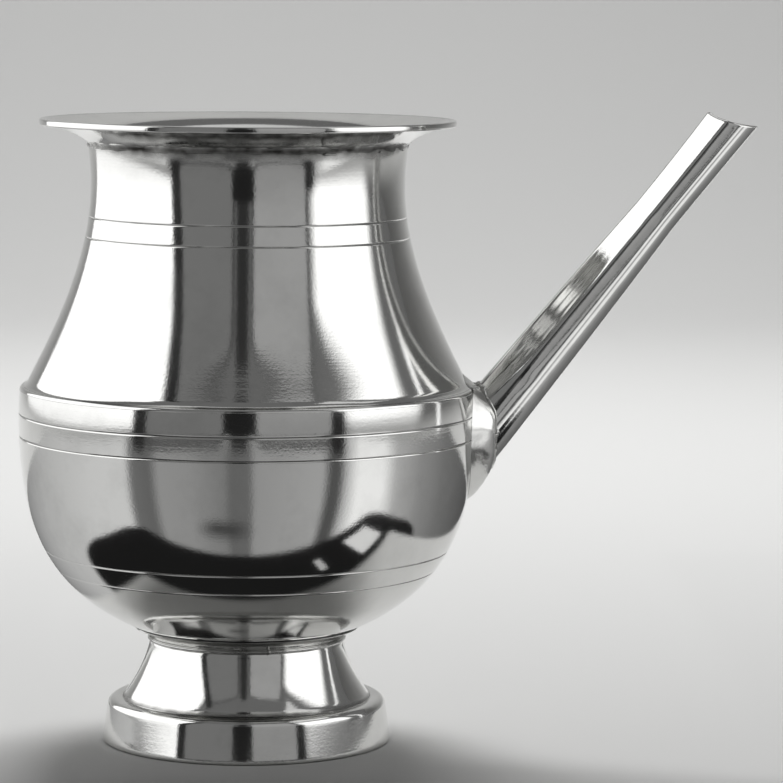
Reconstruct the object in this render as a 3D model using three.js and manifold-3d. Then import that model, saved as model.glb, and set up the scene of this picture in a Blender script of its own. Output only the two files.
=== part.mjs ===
// A kindi, a spouted pouring vessel of polished white metal: raised shells, a turned foot and a rolled spout,
// soldered together. Millimetres, +Z up, spout towards +X, the base ring stands on Z = 0.
import * as THREE from "three";
import { mergeVertices } from "three/addons/utils/BufferGeometryUtils.js";
import Module from "manifold-3d";

// Sheet, clearances and turned lines
const wall = 1.1; // sheet thickness of the raised and spun pieces
const seatGap = 0.25; // clearance where one piece seats in or on the next
const solderFilm = 0.1; // clearance between solder and what it joins
const lineWidth = 0.6; // width of a turned line
const lineDepth = 0.25; // depth of a turned line

// Base band
const footRadius = 34.4; // widest radius, at the flare near the ground
const bandRadius = 33.1; // radius of the band's upright side
const bandHeight = 10.4; // height of the band
const bandCorner = 2.8; // radius of the rounded upper corner
const bandFlareHeight = 6; // height over which the side flares to the foot radius
const bandWall = 1.5; // thickness of the band's upright side and top

// Foot cone
const coneRadius = 29.4; // radius where the cone stands on the band
const coneHeight = 13.7; // height from the band's top to the waist
const coneHollow = 0.4; // how far the cone's side sags inwards
const coneLedge = 1; // width of the cone's seat on the band
const coneSpigot = 6; // length of the cone's sleeve inside the band

// Collar under the bowl
const waistRadius = 23.1; // narrowest radius of the foot, at the joint of cone and collar
const collarRadius = 26.8; // radius of the collar's upper edge
const collarHeight = 2.9; // height of the collar's hollow moulding
const collarSpigot = 2.5; // length of the collar's sleeve inside the cone
const collarSeat = 1.6; // width of the seat that carries the bowl
const beadRadius = 0.6; // radius of the solder bead at the waist

// Bowl
const bowlRadius = 54.2; // widest radius
const bowlMouthDraw = 0.3; // how much the mouth is drawn in from the widest radius
const bowlHeight = 57.4; // height from the collar to the mouth
const bowlShoulder = 6.3; // height of the mouth above the widest level
const bowlSideLength = 23.4; // length of the near-upright stretch below the widest level
const bowlRounding = 25.2; // length of the rounding above the collar
const bowlRise = THREE.MathUtils.degToRad(23.3); // slope of the underside at the collar
const bowlSag = 3.3; // depth of the middle of the underside below the collar
const upperBowlLines = [6.4, 11.8]; // depths of the turned lines below the mouth
const lowerBowlLines = [13.8, 18.5]; // heights of the turned lines above the collar

// Neck and shoulder
const lapDepth = 2.6; // depth to which the shoulder's edge tucks into the bowl
const neckRadius = 37.1; // narrowest radius of the neck
const neckTopFlare = 0.7; // how much wider the neck is at its top, under the rim
const neckWaistHeight = 47.7; // height of the narrowest level above the bowl's mouth
const neckFlareHeight = 9.3; // height of the neck's top above the narrowest level
const neckDrop = 18.9; // length of the near-upright stretch below the narrowest level
const shoulderSweep = 11.4; // length of the near-straight stretch above the bowl's mouth
const shoulderSlope = THREE.MathUtils.degToRad(26.5); // lean of the shoulder from the upright
const neckLines = [40, 35.3]; // heights of the turned lines above the bowl's mouth

// Rim
const rimRadius = 49.2; // outer radius of the everted rim
const rimRise = 5; // height of the rim's edge above its seat on the neck
const rimEdge = 1.5; // thickness of the rounded edge
const rimSweep = 2.9; // how far the rim runs outwards before it levels
const rimSpigot = 2.4; // length of the rim's sleeve inside the neck
const rimFillet = 1.6; // leg of the solder fillet under the rim

// Spout
const spoutDrop = 12.3; // depth below the bowl's mouth at which the spout's axis meets the bowl
const spoutElevation = THREE.MathUtils.degToRad(51.3); // rise of the spout from the level
const spoutLength = 96.4; // length from the bowl's side to the middle of the mouth
const spoutRootRadius = 7.9; // outer radius where the tube starts, inside the saddle
const spoutBellyRadius = 6.6; // radius that the taper's control point holds
const spoutWaistRadius = 5.4; // narrowest outer radius
const spoutWaistLength = 68; // distance of the narrowest place from the bowl's side
const spoutMouthRadius = 5.85; // outer radius at the mouth
const spoutWall = 1; // sheet thickness of the tube
const spoutHoleLedge = 1.2; // width of the bowl's metal left inside the tube, round the hole
const mouthSlant = THREE.MathUtils.degToRad(21.8); // lean of the mouth from square to the tube
const mouthScoop = 24; // radius of the hollow cut across the mouth

// Saddle of the spout
const saddleThickness = 5; // how far the saddle stands out from the bowl
const saddleDepth = 27.6; // depth of its lower tip below the bowl's mouth
const saddleOverlap = 3; // height of its upper edge above the bowl's mouth
const saddleHalfWidth = 12.6; // half width near the top
const saddleEdge = 0.6; // thickness at the lower tip
const saddleCorner = 3; // radius of its upper front corner
const solderWidth = 0.9; // width of the solder round the tube
const solderThickness = 0.7; // thickness of the solder round the tube

// Facets
const turnSegments = 52; // facets round the vessel
const tubeSegments = 24; // facets round the spout

// Radii and levels, worked out from the sizes above
const bowlMouthRadius = bowlRadius - bowlMouthDraw;
const neckTopRadius = neckRadius + neckTopFlare;
const coneLevel = bandHeight + seatGap;
const waistLevel = coneLevel + coneHeight;
const collarLevel = waistLevel + seatGap;
const bowlLevel = collarLevel + collarHeight + seatGap;
const mouthLevel = bowlLevel + bowlHeight;
const neckHeight = neckWaistHeight + neckFlareHeight;
const neckTopLevel = mouthLevel + neckHeight;
const rimLevel = neckTopLevel + seatGap;
const shoulderRadius = bowlMouthRadius - wall - seatGap;
const bandHoleRadius = coneRadius - coneLedge;
const saddleReach = bowlRadius + saddleThickness;
const saddleBottom = mouthLevel - saddleDepth;
const saddleTop = mouthLevel + saddleOverlap;
const spoutRootHeight = mouthLevel - spoutDrop;
const spoutStart = 2.1 * spoutRootRadius; // length of tube made inside the bowl's side, then cut off
const bowlLines = [...lowerBowlLines, ...upperBowlLines.map((depth) => bowlHeight - depth)];

const silver = { color: 0xd9d9d6, metalness: 1, roughness: 0.14 };
const solderGrey = { color: 0xbdbdba, metalness: 1, roughness: 0.32 };

const wasm = await Module();
wasm.setup();

// Outlines, in radius and height

const at = (radius, height) => new THREE.Vector2(radius, height);

// Finds where a steadily rising or falling coordinate of a curve reaches a value.
function parameterWhere(curve, key, value) {
  const rising = curve.getPoint(1)[key] > curve.getPoint(0)[key];
  let low = 0;
  let high = 1;
  for (let i = 0; i < 40; i += 1) {
    const middle = (low + high) / 2;
    if (curve.getPoint(middle)[key] < value === rising) low = middle;
    else high = middle;
  }
  return (low + high) / 2;
}

// Gives the point at t, moved to the left of the curve's direction, which is into the metal.
function inset(curve, t, depth) {
  const point = curve.getPoint(t);
  const tangent = curve.getTangent(t);
  return at(Math.max(0, point.x - tangent.y * depth), point.y + tangent.x * depth);
}

function spread(from, to, steps) {
  return Array.from({ length: steps + 1 }, (_, i) => from + ((to - from) * i) / steps);
}

// Samples a curve, and cuts a V-shaped turned line at each of the given heights.
function linedOutline(curve, steps, lineHeights) {
  const lines = lineHeights.map((height) => [
    { t: parameterWhere(curve, "y", height - lineWidth / 2), depth: 0 },
    { t: parameterWhere(curve, "y", height), depth: lineDepth },
    { t: parameterWhere(curve, "y", height + lineWidth / 2), depth: 0 },
  ]);
  const clear = (t) => lines.every(([low, , high]) => t < low.t - 0.005 || t > high.t + 0.005);
  const plain = spread(0, 1, steps).filter(clear);
  return [...plain.map((t) => ({ t, depth: 0 })), ...lines.flat()]
    .sort((a, b) => a.t - b.t)
    .map(({ t, depth }) => inset(curve, t, depth));
}

function insideOutline(curve, from, to, steps, depth) {
  return spread(from, to, steps).map((t) => inset(curve, t, depth));
}

// Points of an arc about a centre, angles in degrees from the outward direction.
function arc(centre, radius, from, to, steps) {
  return spread(from, to, steps).map((degrees) => {
    const angle = THREE.MathUtils.degToRad(degrees);
    return at(centre.x + radius * Math.cos(angle), centre.y + radius * Math.sin(angle));
  });
}

// Geometry and solids

// Turns an outline, which runs anticlockwise round the metal, about the Z axis.
function turned(outline, segments = turnSegments) {
  const onAxis = outline[0].x === 0 && outline.at(-1).x === 0;
  const closed = onAxis ? outline : [...outline, outline[0].clone()];
  return new THREE.LatheGeometry(closed, segments).rotateX(Math.PI / 2);
}

function solidOf(geometry) {
  const plain = geometry.clone();
  plain.deleteAttribute("normal");
  plain.deleteAttribute("uv");
  const merged = mergeVertices(plain, 1e-4);
  return new wasm.Manifold(
    new wasm.Mesh({
      numProp: 3,
      vertProperties: merged.attributes.position.array,
      triVerts: new Uint32Array(merged.index.array),
    }),
  );
}

function geometryOf(solid) {
  const mesh = solid.getMesh();
  const geometry = new THREE.BufferGeometry();
  geometry.setAttribute("position", new THREE.BufferAttribute(mesh.vertProperties, 3));
  geometry.setIndex(new THREE.BufferAttribute(mesh.triVerts, 1));
  geometry.computeVertexNormals();
  return geometry;
}

function piece(name, geometry, level = 0, look = silver) {
  const mesh = new THREE.Mesh(geometry, new THREE.MeshStandardMaterial(look));
  mesh.name = name;
  mesh.position.z = level;
  return mesh;
}

// Curves of the main shapes, each running upwards or outwards

// The bowl's outside, from the middle of its underside to its mouth, heights from the collar.
function bowlCurve() {
  const widest = bowlHeight - bowlShoulder;
  const rise = at(Math.cos(bowlRise), Math.sin(bowlRise));
  const curve = new THREE.CurvePath();
  const sagPull = collarRadius * 0.5;
  curve.add(
    new THREE.CubicBezierCurve(
      at(0, -bowlSag),
      at(sagPull, -bowlSag),
      at(collarRadius - rise.x * sagPull * 0.5, -rise.y * sagPull * 0.5),
      at(collarRadius, 0),
    ),
  );
  curve.add(
    new THREE.CubicBezierCurve(
      at(collarRadius, 0),
      at(collarRadius + rise.x * bowlRounding, rise.y * bowlRounding),
      at(bowlRadius, widest - bowlSideLength),
      at(bowlRadius, widest),
    ),
  );
  curve.add(
    new THREE.QuadraticBezierCurve(
      at(bowlRadius, widest),
      at(bowlRadius, widest + bowlShoulder / 2),
      at(bowlMouthRadius, bowlHeight),
    ),
  );
  return curve;
}

// The neck's outside, from the bowl's mouth to the rim, heights from the bowl's mouth.
function neckCurve() {
  const curve = new THREE.CurvePath();
  curve.add(
    new THREE.CubicBezierCurve(
      at(shoulderRadius, 0),
      at(
        shoulderRadius - shoulderSweep * Math.sin(shoulderSlope),
        shoulderSweep * Math.cos(shoulderSlope),
      ),
      at(neckRadius, neckWaistHeight - neckDrop),
      at(neckRadius, neckWaistHeight),
    ),
  );
  curve.add(
    new THREE.QuadraticBezierCurve(
      at(neckRadius, neckWaistHeight),
      at(neckRadius, (neckWaistHeight + neckHeight) / 2),
      at(neckTopRadius, neckHeight),
    ),
  );
  return curve;
}

// The cone's outside, from its seat on the band to the waist.
function coneCurve() {
  const middle = at((coneRadius + waistRadius) / 2, coneHeight / 2);
  return new THREE.QuadraticBezierCurve(
    at(coneRadius, 0),
    at(middle.x - coneHollow * 5, middle.y + coneHollow),
    at(waistRadius, coneHeight),
  );
}

// The collar's hollow moulding, from the waist to the upper edge.
function collarCurve() {
  return new THREE.CubicBezierCurve(
    at(waistRadius, 0),
    at(waistRadius, collarHeight * 0.55),
    at(collarRadius - (collarRadius - waistRadius) * 0.5, collarHeight * 0.8),
    at(collarRadius, collarHeight * 0.9),
  );
}

// The rim's underside, from its seat on the neck to its edge.
function rimCurve() {
  return new THREE.QuadraticBezierCurve(
    at(neckTopRadius, 0),
    at(neckTopRadius + rimSweep, rimSweep),
    at(rimRadius - rimEdge / 2, rimRise - rimEdge / 2),
  );
}

// The spout's outside, heights measured along its own axis from the bowl's side.
function spoutCurve(extra) {
  const curve = new THREE.CurvePath();
  curve.add(
    new THREE.QuadraticBezierCurve(
      at(spoutRootRadius, -spoutStart),
      at(spoutBellyRadius, spoutWaistLength * 0.58),
      at(spoutWaistRadius, spoutWaistLength),
    ),
  );
  curve.add(
    new THREE.QuadraticBezierCurve(
      at(spoutWaistRadius, spoutWaistLength),
      at(spoutWaistRadius, (spoutWaistLength + spoutLength) / 2),
      at(spoutMouthRadius, spoutLength + extra),
    ),
  );
  return curve;
}

// Foot

function baseBand() {
  const corner = at(bandRadius - bandCorner, bandHeight - bandCorner);
  const flare = new THREE.CubicBezierCurve(
    at(footRadius, bandFlareHeight * 0.2),
    at(footRadius - 0.1, bandFlareHeight * 0.45),
    at(bandRadius + 0.3, bandFlareHeight * 0.6),
    at(bandRadius, bandFlareHeight),
  );
  const inner = bandRadius - bandWall;
  return turned([
    at(inner, 0),
    at(footRadius - 0.6, 0),
    at(footRadius - 0.12, 0.4),
    ...flare.getPoints(4),
    ...arc(corner, bandCorner, 0, 90, 4),
    at(bandHoleRadius, bandHeight),
    at(bandHoleRadius, bandHeight - bandWall),
    at(inner - 1, bandHeight - bandWall),
    at(inner, bandHeight - bandWall - 1),
  ]);
}

function footCone() {
  const curve = coneCurve();
  const spigotRadius = bandHoleRadius - seatGap;
  return turned([
    at(spigotRadius - wall, -coneSpigot),
    at(spigotRadius, -coneSpigot),
    at(spigotRadius, 0),
    ...curve.getPoints(6),
    ...insideOutline(curve, 1, 0.15, 4, wall),
    at(spigotRadius - wall, seatGap),
  ]);
}

function waistBead() {
  const foot = coneCurve();
  const coneSide = foot.getPoint(parameterWhere(foot, "y", coneHeight - beadRadius)).x;
  const moulding = collarCurve();
  const collarSide = moulding.getPoint(parameterWhere(moulding, "y", beadRadius - seatGap)).x;
  const inner = Math.max(coneSide, collarSide) + solderFilm;
  return turned([
    at(waistRadius + solderFilm, 0),
    at(inner, -beadRadius),
    ...arc(at(inner, 0), beadRadius * 0.9, -60, 60, 3),
    at(inner, beadRadius),
  ]);
}

function footCollar() {
  const bowl = bowlCurve();
  const spigotRadius = waistRadius - wall - seatGap;
  const seatRadius = collarRadius - collarSeat;
  const seatTop = bowl.getPoint(parameterWhere(bowl, "x", seatRadius)).y + collarHeight;
  return turned([
    at(spigotRadius - wall, -collarSpigot),
    at(spigotRadius, -collarSpigot),
    at(spigotRadius, 0),
    ...collarCurve().getPoints(5),
    at(collarRadius - 0.1, collarHeight),
    at(seatRadius, seatTop),
    at(spigotRadius - wall, Math.min(seatTop - wall, collarHeight / 3)),
  ]);
}

// Bowl and neck

function bowlShell(spoutBore) {
  const curve = bowlCurve();
  const shell = turned([
    ...linedOutline(curve, 18, bowlLines),
    ...insideOutline(curve, 1, 0, 11, wall),
  ]);
  return geometryOf(solidOf(shell).subtract(solidOf(spoutBore.translate(0, 0, -bowlLevel))));
}

function neckShell() {
  const curve = neckCurve();
  return turned([
    at(shoulderRadius - wall, -lapDepth),
    at(shoulderRadius, -lapDepth),
    ...linedOutline(curve, 13, neckLines),
    ...insideOutline(curve, 1, 0, 8, wall),
  ]);
}

// Solid of the bowl and shoulder as seen from outside, grown by a clearance.
function bodyEnvelope(clearance) {
  const bowl = bowlCurve();
  const neck = neckCurve();
  const lift = (level) => (point) => at(point.x, point.y + level);
  return turned([
    ...insideOutline(bowl, 0, 1, 18, -clearance).map(lift(bowlLevel)),
    at(bowlMouthRadius + clearance, mouthLevel + clearance),
    at(shoulderRadius + clearance, mouthLevel + clearance),
    ...insideOutline(neck, 0.07, 1, 13, -clearance).map(lift(mouthLevel)),
    at(0, neckTopLevel),
  ]);
}

// Rim

function rimFlange() {
  const underside = rimCurve();
  const sleeve = neckTopRadius - wall - seatGap;
  const edge = at(rimRadius - rimEdge / 2, rimRise);
  return turned([
    at(sleeve - wall, -rimSpigot),
    at(sleeve, -rimSpigot),
    at(sleeve, 0),
    ...underside.getPoints(5).slice(0, -1),
    ...arc(edge, rimEdge / 2, -90, 90, 5),
    ...insideOutline(underside, 0.85, 0.1, 4, wall),
    at(sleeve - wall * 0.8, wall * 0.75),
    at(sleeve - wall, wall * 0.3),
  ]);
}

function rimSolder() {
  const underside = rimCurve();
  const reach = parameterWhere(underside, "x", neckTopRadius + rimFillet);
  return turned([
    at(neckTopRadius + solderFilm, -rimFillet),
    inset(underside, reach, -solderFilm),
    inset(underside, reach / 2, -solderFilm),
    at(neckTopRadius + solderFilm, -solderFilm),
  ]);
}

// Spout, made along its own axis and placed by its group

const spout = new THREE.Group();
const spoutBody = bowlCurve();
const spoutRoot = spoutBody.getPoint(parameterWhere(spoutBody, "y", spoutRootHeight - bowlLevel));
spout.position.set(spoutRoot.x, 0, spoutRootHeight);
spout.rotation.y = Math.PI / 2 - spoutElevation;
spout.updateMatrix();
const intoSpout = spout.matrix.clone().invert();

// Solid rod along the spout's axis, wider than the tube by a clearance.
function spoutRod(clearance, from = -spoutStart) {
  const curve = spoutCurve(0);
  const start = parameterWhere(curve, "y", from + 0.01);
  const side = spread(start, 1, 12).map((t) => curve.getPoint(t));
  return turned(
    [
      at(0, side[0].y),
      ...side.map((point) => at(point.x + clearance, point.y)),
      at(0, side.at(-1).y),
    ],
    tubeSegments,
  );
}

function spoutTube() {
  const mouthSpare = 6;
  const curve = spoutCurve(mouthSpare);
  const outside = spread(0, 1, 12).map((t) => curve.getPoint(t));
  const inside = outside
    .filter((_, i) => i % 2 === 0)
    .map((point) => at(point.x - spoutWall, point.y))
    .reverse();
  const tube = solidOf(turned([...outside, ...inside], tubeSegments));
  const body = solidOf(bodyEnvelope(solderFilm).applyMatrix4(intoSpout));
  const scoopWidth = 4 * spoutMouthRadius;
  const scoop = new THREE.CylinderGeometry(mouthScoop, mouthScoop, scoopWidth, 120);
  scoop.translate(
    -mouthScoop * Math.sin(mouthSlant),
    0,
    spoutLength + mouthScoop * Math.cos(mouthSlant),
  );
  return geometryOf(tube.subtract(body).subtract(solidOf(scoop)));
}

// Ring round the whole vessel with the saddle's side outline, grown by a clearance.
function saddleRing(growth) {
  const body = bowlCurve();
  const tip = body.getPoint(parameterWhere(body, "y", saddleBottom - bowlLevel)).x + saddleEdge;
  const height = saddleTop - saddleBottom;
  const lower = new THREE.QuadraticBezierCurve(
    at(tip + growth, saddleBottom - growth),
    at(saddleReach + growth, saddleBottom + height * 0.22),
    at(saddleReach + growth, saddleBottom + height * 0.5),
  );
  const corner = at(saddleReach - saddleCorner, saddleTop - saddleCorner);
  const inner = neckRadius;
  return turned([
    at(inner, saddleBottom - growth),
    ...lower.getPoints(7),
    ...arc(corner, saddleCorner + growth, 0, 90, 4),
    at(inner, saddleTop + growth),
  ]);
}

// Shield outline of the saddle as seen along X, extruded outwards.
function saddleShield() {
  const height = saddleTop - saddleBottom;
  const half = saddleHalfWidth;
  const level = (share) => saddleBottom + height * share;
  const shield = new THREE.Shape();
  shield.moveTo(0, saddleBottom);
  shield.bezierCurveTo(half * 0.55, saddleBottom, half, level(0.35), half, level(0.72));
  shield.bezierCurveTo(half, level(0.93), half * 0.92, saddleTop, half * 0.72, level(1.02));
  shield.lineTo(-half * 0.72, level(1.02));
  shield.bezierCurveTo(-half * 0.92, saddleTop, -half, level(0.93), -half, level(0.72));
  shield.bezierCurveTo(-half, level(0.35), -half * 0.55, saddleBottom, 0, saddleBottom);
  const extruded = new THREE.ExtrudeGeometry(shield, {
    depth: 2 * saddleReach,
    bevelEnabled: false,
    curveSegments: 7,
  });
  const outwards = new THREE.Matrix4().makeBasis(
    new THREE.Vector3(0, 1, 0),
    new THREE.Vector3(0, 0, 1),
    new THREE.Vector3(1, 0, 0),
  );
  return extruded.applyMatrix4(outwards);
}

function spoutSaddle() {
  const rod = spoutRod(solderFilm).applyMatrix4(spout.matrix);
  const saddle = solidOf(saddleRing(0))
    .intersect(solidOf(saddleShield()))
    .subtract(solidOf(bodyEnvelope(solderFilm)))
    .subtract(solidOf(rod));
  return geometryOf(saddle);
}

function spoutSolder() {
  const sleeve = solidOf(spoutRod(solderWidth)).subtract(solidOf(spoutRod(solderFilm, -spoutStart - 1)));
  const outer = saddleRing(solderThickness).applyMatrix4(intoSpout);
  const inner = saddleRing(solderFilm).applyMatrix4(intoSpout);
  const body = bodyEnvelope(solderFilm).applyMatrix4(intoSpout);
  const shield = saddleShield().applyMatrix4(intoSpout);
  const fillet = sleeve
    .intersect(solidOf(outer))
    .intersect(solidOf(shield))
    .subtract(solidOf(inner))
    .subtract(solidOf(body));
  return geometryOf(fillet);
}

// Hole in the bowl that opens into the tube.
function spoutBore() {
  const reach = 1.5 * spoutStart;
  const radius = spoutRootRadius - spoutWall - spoutHoleLedge;
  const bore = new THREE.CylinderGeometry(radius, radius, 2 * reach, tubeSegments);
  return bore.rotateX(Math.PI / 2).applyMatrix4(spout.matrix);
}

// Assembly

const foot = new THREE.Group();
foot.add(
  piece("foot_base_band", baseBand()),
  piece("foot_cone", footCone(), coneLevel),
  piece("waist_solder", waistBead(), waistLevel + seatGap, solderGrey),
  piece("foot_collar", footCollar(), collarLevel),
);

const vessel = new THREE.Group();
vessel.add(
  piece("bowl_shell", bowlShell(spoutBore()), bowlLevel),
  piece("neck_shell", neckShell(), mouthLevel),
  piece("rim_flange", rimFlange(), rimLevel),
  piece("rim_solder", rimSolder(), rimLevel, solderGrey),
  piece("spout_saddle", spoutSaddle()),
);

spout.add(
  piece("spout_tube", spoutTube()),
  piece("spout_solder", spoutSolder(), 0, solderGrey),
);

const kindi = new THREE.Group();
kindi.add(foot, vessel, spout);

// The origin is the middle of the overall length, on the ground.
const box = new THREE.Box3().setFromObject(kindi, true);
kindi.position.x = -(box.min.x + box.max.x) / 2;

export default kindi;
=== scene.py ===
"""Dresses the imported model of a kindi, a spouted metal vessel, and sets it in a plain studio.

The shells of buffed nickel silver are turned again from the same half sections as the CAD solids, with
many more facets, because a mirror finish shows every flat.
"""

import logging
import math
from collections.abc import Callable, Iterator, Sequence
from contextlib import contextmanager
from dataclasses import dataclass
from enum import Enum
from functools import cached_property, partial

import bpy
from bpy.types import Material, NodeSocket, NodeTree, Object
from mathutils import Euler, Matrix, Vector, noise


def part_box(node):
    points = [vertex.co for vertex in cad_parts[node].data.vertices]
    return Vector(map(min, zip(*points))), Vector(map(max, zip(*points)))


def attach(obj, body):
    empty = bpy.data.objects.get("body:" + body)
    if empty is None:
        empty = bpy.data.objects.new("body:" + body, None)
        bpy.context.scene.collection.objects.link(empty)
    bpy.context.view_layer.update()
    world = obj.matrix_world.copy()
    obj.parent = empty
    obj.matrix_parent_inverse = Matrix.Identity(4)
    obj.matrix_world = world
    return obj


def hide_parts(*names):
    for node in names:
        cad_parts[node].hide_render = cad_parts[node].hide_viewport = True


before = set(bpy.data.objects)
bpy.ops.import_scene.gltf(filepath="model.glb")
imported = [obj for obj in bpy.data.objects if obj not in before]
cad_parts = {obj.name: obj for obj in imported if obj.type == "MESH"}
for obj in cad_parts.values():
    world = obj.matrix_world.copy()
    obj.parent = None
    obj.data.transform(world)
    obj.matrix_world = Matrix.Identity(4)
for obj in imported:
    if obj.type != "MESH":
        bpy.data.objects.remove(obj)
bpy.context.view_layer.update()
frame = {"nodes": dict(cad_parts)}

MM = 0.001
TINY = 1e-9
FACING = 0.05  # the least share of a face's normal that counts as looking at the axis
BODY = "root"
log = logging.getLogger("kindi")

Point = tuple[float, float]
Line = Sequence[Point]
Place = tuple[float, float, float]
SideAt = Callable[[float], list[Point]]
FaceTest = Callable[[Vector, Vector], bool]
Adder = Callable[..., Sequence[NodeSocket]]


class Slot(Enum):
    """The record's material slots."""

    METAL = "polished_metal"
    SOLDER = "solder"


# Degrees past which an edge stays crisp
CREASE = {Slot.METAL: 32.0, Slot.SOLDER: 80.0}


def ramp(value: float, start: float, run: float) -> float:
    """Returns how far a value is along a run, from 0 before it to 1 after it."""
    return min(1.0, max(0.0, (value - start) / run))


def eased(share: float) -> float:
    """Returns a share from 0 to 1 with a soft start and end."""
    return share * share * (3 - 2 * share)


# Half sections: lines of points that hold radius and height in millimetres


def between(a: Point, b: Point, share: float) -> Point:
    """Returns the point at a share of the way from one point to another."""
    return a[0] + (b[0] - a[0]) * share, a[1] + (b[1] - a[1]) * share


def bezier(corners: Line, steps: int) -> list[Point]:
    """Samples a Bezier curve of any degree.

    Args:
        corners: The curve's control points.
        steps: How many stretches the curve is divided into.

    Returns:
        The points from the first corner to the last.
    """
    line = []
    for i in range(steps + 1):
        left = list(corners)
        while len(left) > 1:
            left = [between(a, b, i / steps) for a, b in zip(left, left[1:])]
        line.append(left[0])
    return line


def arc(centre: Point, radius: float, start: float, end: float, steps: int) -> list[Point]:
    """Samples an arc from one angle to another, in degrees from the outward direction."""
    turns = [math.radians(start + (end - start) * i / steps) for i in range(steps + 1)]
    return [(centre[0] + radius * math.cos(a), centre[1] + radius * math.sin(a)) for a in turns]


def lifted(line: Line, rise: float) -> list[Point]:
    """Returns the points of a line raised by a height."""
    return [(radius, height + rise) for radius, height in line]


def evened(line: Line, pitch: float) -> list[Point]:
    """Spaces the points of a line evenly.

    Args:
        line: The points to follow.
        pitch: The distance wanted between points.

    Returns:
        Points on the line from its first to its last, equally far apart.
    """
    lengths = [0.0]
    for a, b in zip(line, line[1:]):
        lengths.append(lengths[-1] + math.dist(a, b))
    steps = max(2, round(lengths[-1] / pitch))
    out, k = [], 0
    for i in range(steps + 1):
        want = lengths[-1] * i / steps
        while k < len(line) - 2 and lengths[k + 1] < want:
            k += 1
        share = (want - lengths[k]) / max(lengths[k + 1] - lengths[k], TINY)
        out.append(between(line[k], line[k + 1], share))
    return out


def read_off(line: Line, value: float, known: int = 1) -> float:
    """Reads the radius of a rising line at a height, or its height at a radius.

    Args:
        line: The points to follow.
        value: The height or radius at which it is read.
        known: Which of the two is given, 0 for the radius and 1 for the height.

    Returns:
        The other one, or that of the line's end where the line doesn't reach.
    """
    sought = 1 - known
    for a, b in zip(line, line[1:]):
        if a[known] <= value <= b[known]:
            run = max(b[known] - a[known], TINY)
            return a[sought] + (b[sought] - a[sought]) * (value - a[known]) / run
    return line[-1][sought]


def inset(line: Line, depth: float) -> list[Point]:
    """Moves a line to its left, which is into the metal when the outline runs anticlockwise round it.

    Args:
        line: The points to move.
        depth: How far to move them.

    Returns:
        The moved points, none of them past the axis.
    """
    out = []
    for i, (radius, height) in enumerate(line):
        a, b = line[max(i - 1, 0)], line[min(i + 1, len(line) - 1)]
        length = math.dist(a, b)
        inwards, up = (b[1] - a[1]) / length * depth, (b[0] - a[0]) / length * depth
        out.append((max(0.0, radius - inwards), height + up))
    return out


@dataclass(frozen=True)
class TurnedLine:
    """A line cut with a pointed tool while the shell spun on the lathe; sizes in millimetres."""

    width: float = 0.46
    depth: float = 0.15
    fine_pitch: float = 0.15
    fine_reach: float = 1.2
    clearance: float = 1.15  # the side's own points are dropped within this many times its reach

    def section(self) -> list[Point]:
        """Returns distance along the surface and depth, across the line."""
        half, soft = self.width / 2, self.width * 0.2
        sinking = [(-half - soft, 0.0), (-half, self.depth * 0.1), (-half * 0.5, self.depth * 0.5)]
        return [*sinking, (0.0, self.depth), *[(-along, depth) for along, depth in sinking[::-1]]]

    def cut_in(self, side: SideAt, pitch: float, heights: Sequence[float]) -> list[Point]:
        """Cuts the line into a rising half section at each of the heights.

        Args:
            side: Gives the half section's outside, with its points at a pitch.
            pitch: The pitch away from the turned lines.
            heights: Where the turned lines lie.

        Returns:
            The half section, with finer points near the turned lines.
        """
        fine, section = side(self.fine_pitch), self.section()
        clear = section[-1][0] * self.clearance
        for height in heights:
            k = min(range(len(fine)), key=lambda i: abs(fine[i][1] - height))
            centre, a, b = fine[k], fine[max(k - 3, 0)], fine[min(k + 3, len(fine) - 1)]
            length = math.dist(a, b)
            out, up = (b[0] - a[0]) / length, (b[1] - a[1]) / length
            parts = fine[:k], fine[k + 1 :]
            low, high = ([p for p in part if math.dist(p, centre) > clear] for part in parts)
            cut = [(centre[0] + out * s - up * d, centre[1] + up * s + out * d) for s, d in section]
            fine = low + cut + high
        near = [p for p in fine if any(abs(p[1] - h) < self.fine_reach for h in heights)]
        far = [p for p in side(pitch) if all(abs(p[1] - h) >= self.fine_reach for h in heights)]
        return sorted(near + far, key=lambda p: round(p[1], 6))


# Modelling


def make_active(piece: Object | None) -> None:
    """Leaves one object selected and active, or none, the CAD nodes included."""
    if bpy.context.object and bpy.context.object.mode != "OBJECT":
        bpy.ops.object.mode_set(mode="OBJECT")
    bpy.ops.object.select_all(action="DESELECT")
    if piece:
        piece.select_set(True)
        bpy.context.view_layer.objects.active = piece


@contextmanager
def editing(piece: Object) -> Iterator[None]:
    """Opens a piece in edit mode with all of it selected, and closes it again."""
    make_active(piece)
    bpy.ops.object.mode_set(mode="EDIT")
    bpy.ops.mesh.select_all(action="SELECT")
    yield
    bpy.ops.object.mode_set(mode="OBJECT")


def named(piece: Object, name: str) -> Object:
    """Names an object and its mesh, and returns the object."""
    piece.name = piece.data.name = name
    return piece


def begun(add_primitive: Callable, name: str, place: Matrix, **sizes: object) -> Object:
    """Starts a piece from a primitive.

    Args:
        add_primitive: The operator that adds it.
        name: The piece's name.
        place: Where it goes, which is left in its mesh.
        sizes: The operator's own settings.

    Returns:
        The new object, selected and active.
    """
    make_active(None)
    add_primitive(**sizes)
    return settled(named(bpy.context.object, name), place)


def settled(piece: Object, place: Matrix) -> Object:
    """Moves a piece to a place, leaves that place in its mesh, and returns the piece."""
    make_active(piece)
    piece.matrix_world = place
    bpy.ops.object.transform_apply(location=True, rotation=True, scale=True)
    return piece


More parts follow.
